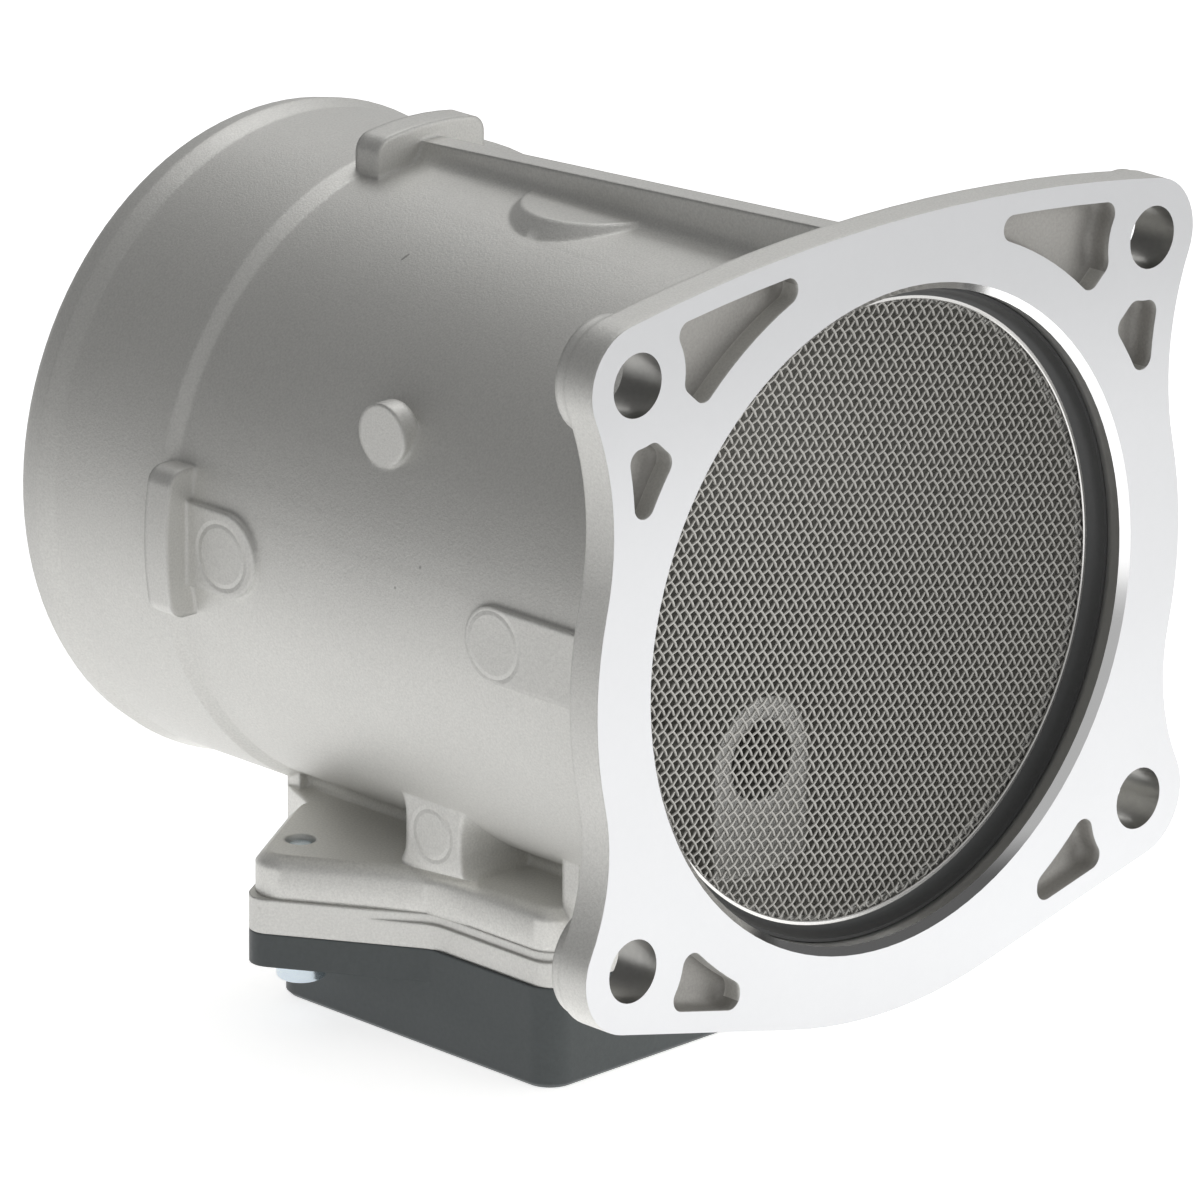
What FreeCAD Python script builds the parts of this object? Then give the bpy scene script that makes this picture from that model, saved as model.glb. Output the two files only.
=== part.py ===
import FreeCAD, Part
import math
import os
import Sketcher
from types import SimpleNamespace

# Mass airflow sensor: a die-cast aluminium metering tube with a bolted flange,
# a woven inlet screen and a plastic electronics module screwed on below.
# Frame: flange face at y = 0, air flows along +Y, the module hangs towards -Z.
# Lengths are in millimetres and angles in degrees.

SIZES = {
    # Metering tube, turned or cast about the Y axis
    "bore_radius": 40.0,
    "tube_wall": 3.1,
    "spigot_wall": 4.1,
    "tube_length": 116.5,
    "shoulder_start": 88.2,
    "shoulder_run": 2.1,
    "bead_height": 0.7,
    "bead_crest_back": 3.4,
    "bead_run": 11.0,
    "end_bevel": 0.9,
    "flange_fillet": 3.5,
    # Mounting flange
    "flange_thickness": 5.5,
    "flange_edge_bevel": 0.6,
    "bolt_boss_radius": 7.6,
    "bolt_boss_step": 1.2,
    "bolt_half_wide": 46.5,
    "bolt_high": 41.1,
    "bolt_low": 35.2,
    "bolt_hole_radius": 4.15,
    "corner_radius": 7.8,
    "lower_corner_radius": 8.2,
    "top_arc_radius": 280.0,
    "bottom_arc_radius": 75.0,
    "bottom_reach": 52.7,
    "waist_radius": 53.0,
    "upper_dip_radius": 40.0,
    "lower_dip_radius": 28.0,
    # Blind pockets in the flange face
    "pocket_depth": 3.4,
    "pocket_rim": 2.8,
    "side_pocket_rim": 3.6,
    "pocket_corner": 1.75,
    "pocket_floor_bevel": 0.7,
    "bore_land_width": 7.2,
    "upper_boss_radius": 8.3,
    "lower_boss_radius": 9.0,
    "land_rib_half": 3.7,
    "crown_land_half": 15.4,
    "side_land_top": 23.0,
    "bottom_land_half": 27.4,
    # Recess for the inlet screen
    "recess_step": 2.8,
    "recess_depth": 6.2,
    "recess_chamfer": 1.0,
    "cutter_lead": 2.0,
    # Hose-stop lugs, top rib and cast pads
    "lug_ahead": 3.2,
    "lug_thickness": 4.2,
    "lug_height": 4.1,
    "top_lug_height": 4.85,
    "side_lug_half": 10.0,
    "top_lug_half": 9.6,
    "lug_corner": 2.5,
    "rib_thickness": 3.5,
    "rib_front_rise": 6.9,
    "rib_back_rise": 2.5,
    "rib_foot_radius": 2.5,
    "round_pad_radius": 10.0,
    "round_pad_height": 0.55,
    "round_pad_middle": 53.9,
    "round_pad_draft": 45.0,
    "side_pad_height": 0.5,
    "front_pad_half": 5.0,
    "front_pad_length": 33.3,
    "back_pad_half": 5.7,
    "back_pad_length": 12.8,
    "pin_boss_radius": 4.2,
    "pin_boss_inset": 3.4,
    "pin_boss_middle": 52.6,
    "pin_boss_high": 21.1,
    # Pedestal under the tube
    "module_middle": 58.5,
    "module_half_length": 27.5,
    "module_half_width": 30.2,
    "module_corner": 3.5,
    "pedestal_bottom": 46.0,
    "pedestal_thickness": 5.7,
    "pedestal_top_bevel": 1.7,
    "pad_tip_rounding": 4.6,
    "pad_inset": 0.4,
    "screw_outset": 3.6,
    "screw_half_long": 15.6,
    "ear_angle": 31.7,
    "ear_side": 8.2,
    "ear_end": 5.5,
    "ear_tip_rounding": 3.0,
    "ear_waist_rounding": 6.0,
    "front_web_ahead": 28.6,
    "front_web_thickness": 3.0,
    "front_web_face": 26.5,
    "post_ahead": 11.7,
    "post_length": 11.7,
    "post_face": 30.5,
    "back_web_behind": 32.5,
    "back_web_thickness": 2.4,
    "back_web_face": 20.4,
    # Sampling passage inside the bore
    "nozzle_ahead": 22.6,
    "nozzle_length": 44.0,
    "nozzle_radius": 8.5,
    "nozzle_drop": 24.6,
    "passage_radius": 5.5,
    "probe_ahead": 12.5,
    "probe_bore_radius": 7.2,
    "probe_bore_below": 4.0,
    # Inlet screen and its rings
    "screen_thickness": 0.8,
    "screen_gap": 0.3,
    "screen_pitch": 7.2,
    "screen_wire_share": 0.32,
    "screen_angle": 31.4,
    "screen_rim_width": 1.6,
    "screen_open_step": 0.5,
    "rim_thickness": 0.3,
    "rim_overlap": 0.5,
    "ring_depth": 2.0,
    "ring_gap": 0.1,
    "ring_lip": 0.5,
    "ring_cove_step": 0.84,
    "ring_cove_run": 0.86,
    # Aluminium base plate, seal and screws
    "plate_thickness": 4.7,
    "plate_step": 1.3,
    "plate_step_inset": 0.35,
    "seal_radius": 12.0,
    "seal_width": 2.4,
    "seal_depth": 1.8,
    "seal_gap": 0.15,
    "screw_radius": 2.0,
    "thread_gap": 0.05,
    "screw_clearance": 0.25,
    "screw_tip_below": 0.6,
    "screw_head_radius": 3.5,
    "screw_head_height": 3.9,
    "screw_socket_radius": 1.7,
    "screw_socket_depth": 2.2,
    # Plastic case, cover and connector shell
    "case_overhang": 0.3,
    "case_flange_thickness": 4.6,
    "case_length": 52.0,
    "case_wall": 2.0,
    "case_roof": 2.2,
    "case_depth": 9.9,
    "cover_height": 4.0,
    "cover_floor": 1.8,
    "cover_lip": 1.2,
    "cover_gap": 0.1,
    "cover_hollow_corner": 0.6,
    "case_corner": 4.0,
    "cover_edge_bevel": 0.6,
    "bushing_wall": 1.0,
    "bushing_gap": 0.05,
    "shell_behind": 3.5,
    "shell_half_width": 12.0,
    "shell_half_height": 5.6,
    "shell_reach": 20.0,
    "shell_wall": 1.5,
    "shell_corner": 3.0,
    "socket_depth": 17.5,
    "latch_length": 5.0,
    "latch_height": 1.4,
    "latch_half_width": 3.0,
    "latch_setback": 3.5,
    # Circuit board and what stands on it
    "board_side_gap": 2.5,
    "board_end_gap": 3.6,
    "board_thickness": 1.0,
    "board_below_roof": 5.7,
    "pillar_side": 4.0,
    "pillar_inset": 0.4,
    "gel_thickness": 1.6,
    "chip_across": 4.0,
    "chip_along": 18.0,
    "chip_length": 9.0,
    "chip_width": 6.0,
    "chip_height": 1.6,
    "transistor_across": 6.0,
    "transistor_along": 5.0,
    "transistor_length": 10.0,
    "transistor_width": 8.5,
    "transistor_height": 2.4,
    "capacitor_across": 34.0,
    "capacitor_along": 3.0,
    "capacitor_length": 3.2,
    "capacitor_width": 1.8,
    "capacitor_height": 1.4,
    "capacitor_pitch": 4.5,
    "resistor_across": 16.0,
    "resistor_along": 25.0,
    "resistor_length": 12.0,
    "resistor_width": 3.0,
    "resistor_height": 0.8,
    "terminal_pitch": 3.6,
    "terminal_width": 1.2,
    "terminal_thickness": 0.64,
    "terminal_reach": 11.0,
    "terminal_hold": 5.5,
    "terminal_gap": 0.02,
    # Probe, posts and sensing elements
    "probe_gap": 0.15,
    "probe_window_radius": 5.5,
    "probe_collar_radius": 9.5,
    "probe_collar_height": 1.6,
    "probe_top_gap": 0.4,
    "probe_seal_section": 1.4,
    "probe_seal_gap": 0.05,
    "probe_seal_below": 3.0,
    "post_radius": 0.45,
    "post_half_gap": 2.6,
    "post_half_step": 3.0,
    "post_hole_gap": 0.05,
    "bead_radius": 0.45,
    "hot_bead_length": 2.2,
    "air_bead_length": 3.0,
    "lead_radius": 0.15,
    "lead_gap": 0.02,
    "post_tip_above": 0.6,
}

doc = FreeCAD.newDocument("mass_airflow_sensor")
sheet = doc.addObject("Spreadsheet::Sheet", "sizes")
for row, (name, number) in enumerate(SIZES.items(), start=1):
    sheet.set("A%d" % row, name)
    sheet.set("B%d" % row, str(number))
    sheet.setAlias("B%d" % row, name)
doc.recompute()


class Size:
    """A length together with the spreadsheet formula that gives it."""

    def __init__(self, value, formula):
        self.value = float(value)
        self.formula = formula

    def __add__(self, other):
        other = as_size(other)
        return Size(self.value + other.value, "(%s + %s)" % (self.formula, other.formula))

    def __sub__(self, other):
        other = as_size(other)
        return Size(self.value - other.value, "(%s - %s)" % (self.formula, other.formula))

    def __mul__(self, other):
        other = as_size(other)
        return Size(self.value * other.value, "(%s * %s)" % (self.formula, other.formula))

    def __truediv__(self, other):
        other = as_size(other)
        return Size(self.value / other.value, "(%s / %s)" % (self.formula, other.formula))

    def __radd__(self, other):
        return as_size(other) + self

    def __rsub__(self, other):
        return as_size(other) - self

    def __rmul__(self, other):
        return as_size(other) * self

    def __neg__(self):
        return Size(-self.value, "(0 - %s)" % self.formula)


def as_size(number):
    return number if isinstance(number, Size) else Size(number, repr(number))


def root(number):
    """Square root of a size."""
    return Size(math.sqrt(number.value), "sqrt(%s)" % number.formula)


def cosine(angle):
    return Size(math.cos(math.radians(angle.value)), "cos(%s)" % angle.formula)


def sine(angle):
    return Size(math.sin(math.radians(angle.value)), "sin(%s)" % angle.formula)


d = SimpleNamespace(**{name: Size(sheet.get(name), "sizes." + name) for name in SIZES})


def new_body(label):
    body = doc.addObject("PartDesign::Body", label)
    body.Label = label
    return body


def new_sketch(body, name, plane, offset=0):
    """Adds a sketch on one of the body's origin planes, moved along its normal."""
    item = body.newObject("Sketcher::SketchObject", name)
    support = [feature for feature in body.Origin.OriginFeatures if feature.Role == plane]
    item.AttachmentSupport = [(support[0], "")]
    item.MapMode = "FlatFace"
    item.setExpression("AttachmentOffset.Base.z", as_size(offset).formula)
    return item


def bind(item, kind, *where):
    """Adds a sketch constraint whose value is a size."""
    size = as_size(where[-1])
    index = item.addConstraint(Sketcher.Constraint(kind, *where[:-1], size.value))
    item.setExpression("Constraints[%d]" % index, size.formula)


def add_loop(item, points):
    """Adds a closed loop. A point is (u, v), or (u, v, r) where an arc starts.

    A positive radius turns left along the loop and a negative one turns right.
    """
    first = item.GeometryCount
    ends = []
    for index, point in enumerate(points):
        following = points[(index + 1) % len(points)]
        start = FreeCAD.Vector(as_size(point[0]).value, as_size(point[1]).value, 0)
        end = FreeCAD.Vector(as_size(following[0]).value, as_size(following[1]).value, 0)
        if len(point) == 2:
            item.addGeometry(Part.LineSegment(start, end), False)
            ends.append((1, 2))
            continue
        radius = as_size(point[2]).value
        half = (end - start) * 0.5
        side = FreeCAD.Vector(-half.y, half.x, 0).normalize()
        rise = math.sqrt(max(radius * radius - half.Length ** 2, 0))
        middle = start + half + side * math.copysign(rise, radius)
        low, high = (start, end) if radius > 0 else (end, start)
        low_angle = math.atan2(low.y - middle.y, low.x - middle.x)
        high_angle = math.atan2(high.y - middle.y, high.x - middle.x)
        if high_angle < low_angle:
            high_angle += 2 * math.pi
        circle = Part.Circle(middle, FreeCAD.Vector(0, 0, 1), abs(radius))
        item.addGeometry(Part.ArcOfCircle(circle, low_angle, high_angle), False)
        ends.append((1, 2) if radius > 0 else (2, 1))
    for index, point in enumerate(points):
        after = (index + 1) % len(points)
        curve = first + index
        link = ("Coincident", curve, ends[index][1], first + after, ends[after][0])
        item.addConstraint(Sketcher.Constraint(*link))
        bind(item, "DistanceX", -1, 1, curve, ends[index][0], point[0])
        bind(item, "DistanceY", -1, 1, curve, ends[index][0], point[1])
        if len(point) == 3:
            radius = as_size(point[2])
            bind(item, "Radius", curve, radius if radius.value > 0 else -radius)


def add_circle(item, middle_u, middle_v, radius):
    curve = item.GeometryCount
    middle = FreeCAD.Vector(as_size(middle_u).value, as_size(middle_v).value, 0)
    circle = Part.Circle(middle, FreeCAD.Vector(0, 0, 1), as_size(radius).value)
    item.addGeometry(circle, False)
    bind(item, "Radius", curve, radius)
    bind(item, "DistanceX", -1, 1, curve, 3, middle_u)
    bind(item, "DistanceY", -1, 1, curve, 3, middle_v)


def add_soft_loop(item, points, radii):
    """Adds a closed outline whose corners, at the given points, are all rounded."""
    spots = [FreeCAD.Vector(u.value, v.value, 0) for u, v in points]
    arcs = []
    for index, spot in enumerate(spots):
        radius = radii[index].value
        back = (spots[index - 1] - spot).normalize()
        ahead = (spots[(index + 1) % len(spots)] - spot).normalize()
        half_angle = back.getAngle(ahead) / 2
        middle = spot + (back + ahead).normalize() * (radius / math.sin(half_angle))
        start = spot + back * (radius / math.tan(half_angle))
        end = spot + ahead * (radius / math.tan(half_angle))
        leftwards = (ahead.x * back.y - ahead.y * back.x) > 0
        arcs.append((middle, radius, start, end, leftwards))
    curves = []
    for middle, radius, start, end, leftwards in arcs:
        low, high = (start, end) if leftwards else (end, start)
        low_angle = math.atan2(low.y - middle.y, low.x - middle.x)
        high_angle = math.atan2(high.y - middle.y, high.x - middle.x)
        if high_angle < low_angle:
            high_angle += 2 * math.pi
        circle = Part.Circle(middle, FreeCAD.Vector(0, 0, 1), radius)
        curves.append(item.addGeometry(Part.ArcOfCircle(circle, low_angle, high_angle), False))
    lines = [
        item.addGeometry(Part.LineSegment(arc[3], arcs[(index + 1) % len(arcs)][2]), False)
        for index, arc in enumerate(arcs)
    ]
    for index, curve in enumerate(curves):
        begin, finish = (1, 2) if arcs[index][4] else (2, 1)
        corner = item.addGeometry(Part.Point(spots[index]), True)
        bind(item, "DistanceX", -1, 1, corner, 1, points[index][0])
        bind(item, "DistanceY", -1, 1, corner, 1, points[index][1])
        bind(item, "Radius", curve, radii[index])
        item.addConstraint(Sketcher.Constraint("Tangent", lines[index - 1], 2, curve, begin))
        item.addConstraint(Sketcher.Constraint("Tangent", curve, finish, lines[index], 1))
        item.addConstraint(Sketcher.Constraint("PointOnObject", corner, 1, lines[index - 1]))
        item.addConstraint(Sketcher.Constraint("PointOnObject", corner, 1, lines[index]))


def rectangle(low_u, low_v, high_u, high_v):
    return [(low_u, low_v), (high_u, low_v), (high_u, high_v), (low_u, high_v)]


def rounded_rectangle(low_u, low_v, high_u, high_v, corner):
    """Corner points of a rectangle with quarter-round corners."""
    return [
        (low_u + corner, low_v),
        (high_u - corner, low_v, corner),
        (high_u, low_v + corner),
        (high_u, high_v - corner, corner),
        (high_u - corner, high_v),
        (low_u + corner, high_v, corner),
        (low_u, high_v - corner),
        (low_u, low_v + corner, corner),
    ]


def extrude(body, item, length, kind="Pad", backwards=False, midplane=False):
    """Pads or pockets a sketch. Backwards means against the plane's normal."""
    feature = body.newObject("PartDesign::" + kind, item.Name + "_" + kind.lower())
    feature.Profile = item
    feature.setExpression("Length", as_size(length).formula)
    feature.Midplane = midplane
    feature.Reversed = backwards if kind == "Pad" else not backwards
    item.Visibility = False
    return feature


def turn(body, item, kind="Revolution"):
    """Revolves a sketch of the XY plane round the Y axis."""
    feature = body.newObject("PartDesign::" + kind, item.Name + "_turn")
    feature.Profile = item
    feature.ReferenceAxis = (item, ["V_Axis"])
    feature.Angle = 360
    return feature


def finish_edges(body, kind, name, size, wanted):
    """Fillets or chamfers the edges of the body's last feature that wanted(edge) picks."""
    doc.recompute()
    base = body.Tip
    names = [
        "Edge%d" % (number + 1)
        for number, edge in enumerate(base.Shape.Edges)
        if wanted(edge)
    ]
    if not names:
        raise ValueError("no edge found for " + name)
    feature = body.newObject("PartDesign::" + kind, name)
    feature.Base = (base, names)
    feature.setExpression("Radius" if kind == "Fillet" else "Size", size.formula)


def along(edge, axis):
    """Whether an edge is straight and runs along an axis vector."""
    if not isinstance(edge.Curve, Part.Line):
        return False
    return abs(edge.tangentAt(edge.FirstParameter).dot(axis)) > 0.9999


X_AXIS = FreeCAD.Vector(1, 0, 0)
Y_AXIS = FreeCAD.Vector(0, 1, 0)
Z_AXIS = FreeCAD.Vector(0, 0, 1)
NEAR = 0.02

tube_radius = d.bore_radius + d.tube_wall
spigot_radius = d.bore_radius + d.spigot_wall
recess_radius = d.bore_radius + d.recess_step
screen_open_radius = d.bore_radius + d.screen_open_step
lug_start = d.shoulder_start - d.lug_ahead
lug_radius = tube_radius + d.lug_height
top_lug_radius = tube_radius + d.top_lug_height
pin_boss_face = tube_radius - d.pin_boss_inset
pedestal_top = d.pedestal_bottom - d.pedestal_thickness
plate_bottom = d.pedestal_bottom + d.plate_thickness
case_flange_bottom = plate_bottom + d.case_flange_thickness
cover_top = plate_bottom + d.case_depth
cover_bottom = cover_top + d.cover_height
screw_half_wide = d.module_half_width + d.screw_outset
case_half_width = d.module_half_width + d.case_overhang
case_front = d.module_middle - d.module_half_length
case_back = case_front + d.case_length
back_web_end = d.module_middle + d.back_web_behind
shell_middle = d.module_middle + d.shell_behind
probe_y = d.module_middle - d.probe_ahead
probe_bore_top = d.nozzle_drop + d.probe_bore_below
nozzle_start = probe_y - d.nozzle_ahead
board_half_wide = case_half_width - d.case_wall - d.board_side_gap
board_length = d.case_length - 2 * (d.case_wall + d.board_end_gap)
board_drop = plate_bottom + d.case_roof + d.board_below_roof
board_bottom = board_drop + d.board_thickness


def tangent_arc_middle(first, first_radius, second, second_radius, radius):
    """Middle of an arc that touches two circles from outside, on its outer side."""
    one = first_radius + radius
    two = second_radius + radius
    across = second - first
    span = across.Length
    forward = (one * one - two * two + span * span) / (2 * span)
    aside = math.sqrt(one * one - forward * forward)
    unit = across * (1 / span)
    choices = [
        first + unit * forward + FreeCAD.Vector(-unit.y, unit.x, 0) * sign * aside
        for sign in (1, -1)
    ]
    return max(choices, key=lambda point: point.x)


def flange_outline(item):
    """Draws the flange outline: four screw corners, crowned top and bowed bottom."""
    centre = FreeCAD.Vector(0, 0, 0)
    upper = FreeCAD.Vector(d.bolt_half_wide.value, d.bolt_high.value, 0)
    lower = FreeCAD.Vector(d.bolt_half_wide.value, -d.bolt_low.value, 0)
    corner = d.corner_radius.value
    foot = d.lower_corner_radius.value
    top = d.top_arc_radius.value
    bottom = d.bottom_arc_radius.value
    waist = d.waist_radius.value
    top_drop = math.sqrt((top - corner) ** 2 - upper.x ** 2)
    top_middle = FreeCAD.Vector(0, upper.y - top_drop, 0)
    bottom_middle = FreeCAD.Vector(0, bottom - d.bottom_reach.value, 0)
    upper_dip = tangent_arc_middle(centre, waist, upper, corner, d.upper_dip_radius.value)
    lower_dip = tangent_arc_middle(centre, waist, lower, foot, d.lower_dip_radius.value)
    reach = lower - bottom_middle
    share = (bottom - foot) / reach.Length
    unit = reach * (1 / reach.Length)
    side = math.sqrt(1 - share * share)
    down = FreeCAD.Vector(unit.x * share + unit.y * side, unit.y * share - unit.x * side, 0)

    def meeting(from_middle, to_middle, distance):
        step = to_middle - from_middle
        return from_middle + step * (distance / step.Length)

    joints = [
        meeting(top_middle, upper, top),
        meeting(upper, upper_dip, corner),
        meeting(centre, upper_dip, waist),
        meeting(centre, lower_dip, waist),
        meeting(lower, lower_dip, foot),
        lower + down * foot,
        bottom_middle + down * bottom,
    ]
    upper_dip_size = d.upper_dip_radius.value
    lower_dip_size = d.lower_dip_radius.value
    right = [
        (upper, corner, joints[1], joints[0], d.corner_radius),
        (upper_dip, upper_dip_size, joints[1], joints[2], d.upper_dip_radius),
        (centre, waist, joints[3], joints[2], d.waist_radius),
        (lower_dip, lower_dip_size, joints[3], joints[4], d.lower_dip_radius),
        (lower, foot, joints[5], joints[4], d.lower_corner_radius),
    ]

    def flip(point):
        return FreeCAD.Vector(-point.x, point.y, 0)

    def add_arc(middle, radius, start, end, size):
        low = math.atan2(start.y - middle.y, start.x - middle.x)
        high = math.atan2(end.y - middle.y, end.x - middle.x)
        if high < low:
            high += 2 * math.pi
        circle = Part.Circle(middle, FreeCAD.Vector(0, 0, 1), radius)
        curve = item.addGeometry(Part.ArcOfCircle(circle, low, high), False)
        bind(item, "Radius", curve, size)
        return curve

    top_arc = add_arc(top_middle, top, joints[0], flip(joints[0]), d.top_arc_radius)
    right_arcs = [add_arc(*arc) for arc in right]
    left_arcs = [
        add_arc(flip(middle), radius, flip(end), flip(start), size)
        for middle, radius, start, end, size in right
    ]
    bottom_ends = (flip(joints[6]), joints[6])
    bottom_arc = add_arc(bottom_middle, bottom, *bottom_ends, d.bottom_arc_radius)
    right_slope = item.addGeometry(Part.LineSegment(joints[6], joints[5]), False)
    left_slope = item.addGeometry(Part.LineSegment(flip(joints[5]), flip(joints[6])), False)

    item.addConstraint(Sketcher.Constraint("PointOnObject", bottom_arc, 3, -2))
    bind(item, "DistanceY", -1, 1, bottom_arc, 3, d.bottom_arc_radius - d.bottom_reach)
    for arcs, sign in ((right_arcs, 1), (left_arcs, -1)):
        half_wide = sign * d.bolt_half_wide
        bind(item, "DistanceX", -1, 1, arcs[0], 3, half_wide)
        bind(item, "DistanceY", -1, 1, arcs[0], 3, d.bolt_high)
        bind(item, "DistanceX", -1, 1, arcs[4], 3, half_wide)
        bind(item, "DistanceY", -1, 1, arcs[4], 3, -d.bolt_low)
        item.addConstraint(Sketcher.Constraint("Coincident", arcs[2], 3, -1, 1))
    touching = [
        (top_arc, 1, right_arcs[0], 2),
        (right_arcs[0], 1, right_arcs[1], 1),
        (right_arcs[1], 2, right_arcs[2], 2),
        (right_arcs[2], 1, right_arcs[3], 1),
        (right_arcs[3], 2, right_arcs[4], 2),
        (right_arcs[4], 1, right_slope, 2),
        (right_slope, 1, bottom_arc, 2),
        (bottom_arc, 1, left_slope, 2),
        (left_slope, 1, left_arcs[4], 2),
        (left_arcs[4], 1, left_arcs[3], 1),
        (left_arcs[3], 2, left_arcs[2], 2),
        (left_arcs[2], 1, left_arcs[1], 1),
        (left_arcs[1], 2, left_arcs[0], 2),
        (left_arcs[0], 1, top_arc, 2),
    ]
    for link in touching:
        item.addConstraint(Sketcher.Constraint("Tangent", *link))


def ear_outline(inset=0):
    """Outline of the module flange: a rectangle with two screw ears, half a turn alike.

    Coordinates are (x, y). The ear edges stand square to each other and are
    turned by ear_angle. Inset moves every edge inwards.
    """
    inset = as_size(inset)
    half_width = d.module_half_width - inset
    half_length = d.module_half_length - inset
    side = d.ear_side - inset
    end = d.ear_end - inset
    cos = cosine(d.ear_angle)
    sin = sine(d.ear_angle)
    hole_x = -screw_half_wide
    hole_y = d.screw_half_long
    waist = hole_y - (side + cos * (-half_width - hole_x)) / sin
    tip_x = hole_x - side * cos - end * sin
    tip_y = hole_y - side * sin + end * cos
    shoulder = hole_x - (end - cos * (half_length - hole_y)) / sin
    half = [
        (-half_width, -half_length),
        (-half_width, waist),
        (tip_x, tip_y),
        (shoulder, half_length),
    ]
    turned = [(-x, -y) for x, y in half]
    return [(x, y + d.module_middle) for x, y in half[::-1] + turned[::-1]]


def add_ear_outline(item, inset=0, tip=d.ear_tip_rounding):
    """Draws the eared outline with its corners, ear tips and waists rounded."""
    half = (d.module_corner, tip, d.ear_waist_rounding, d.module_corner)
    add_soft_loop(item, ear_outline(inset), half + half)


BOLT_PLACES = (
    (-d.bolt_half_wide, d.bolt_high),
    (d.bolt_half_wide, d.bolt_high),
    (-d.bolt_half_wide, -d.bolt_low),
    (d.bolt_half_wide, -d.bolt_low),
)
SCREW_PLACES = (
    (-screw_half_wide, d.module_middle + d.screw_half_long),
    (screw_half_wide, d.module_middle - d.screw_half_long),
)


def make_pad(body):
    """Pad with two screw ears under the tube, its top rim rounded."""
    pad = new_sketch(body, "pedestal_pad", "XY_Plane", -d.pedestal_bottom)
    add_ear_outline(pad, d.pad_inset, d.pad_tip_rounding)
    extrude(body, pad, d.pedestal_thickness)
    top = -pedestal_top.value

    def pad_rim(edge):
        return edge.BoundBox.ZMin > top - NEAR and edge.BoundBox.ZMax < top + NEAR

    finish_edges(body, "Chamfer", "pad_rim", d.pedestal_top_bevel, pad_rim)


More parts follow.
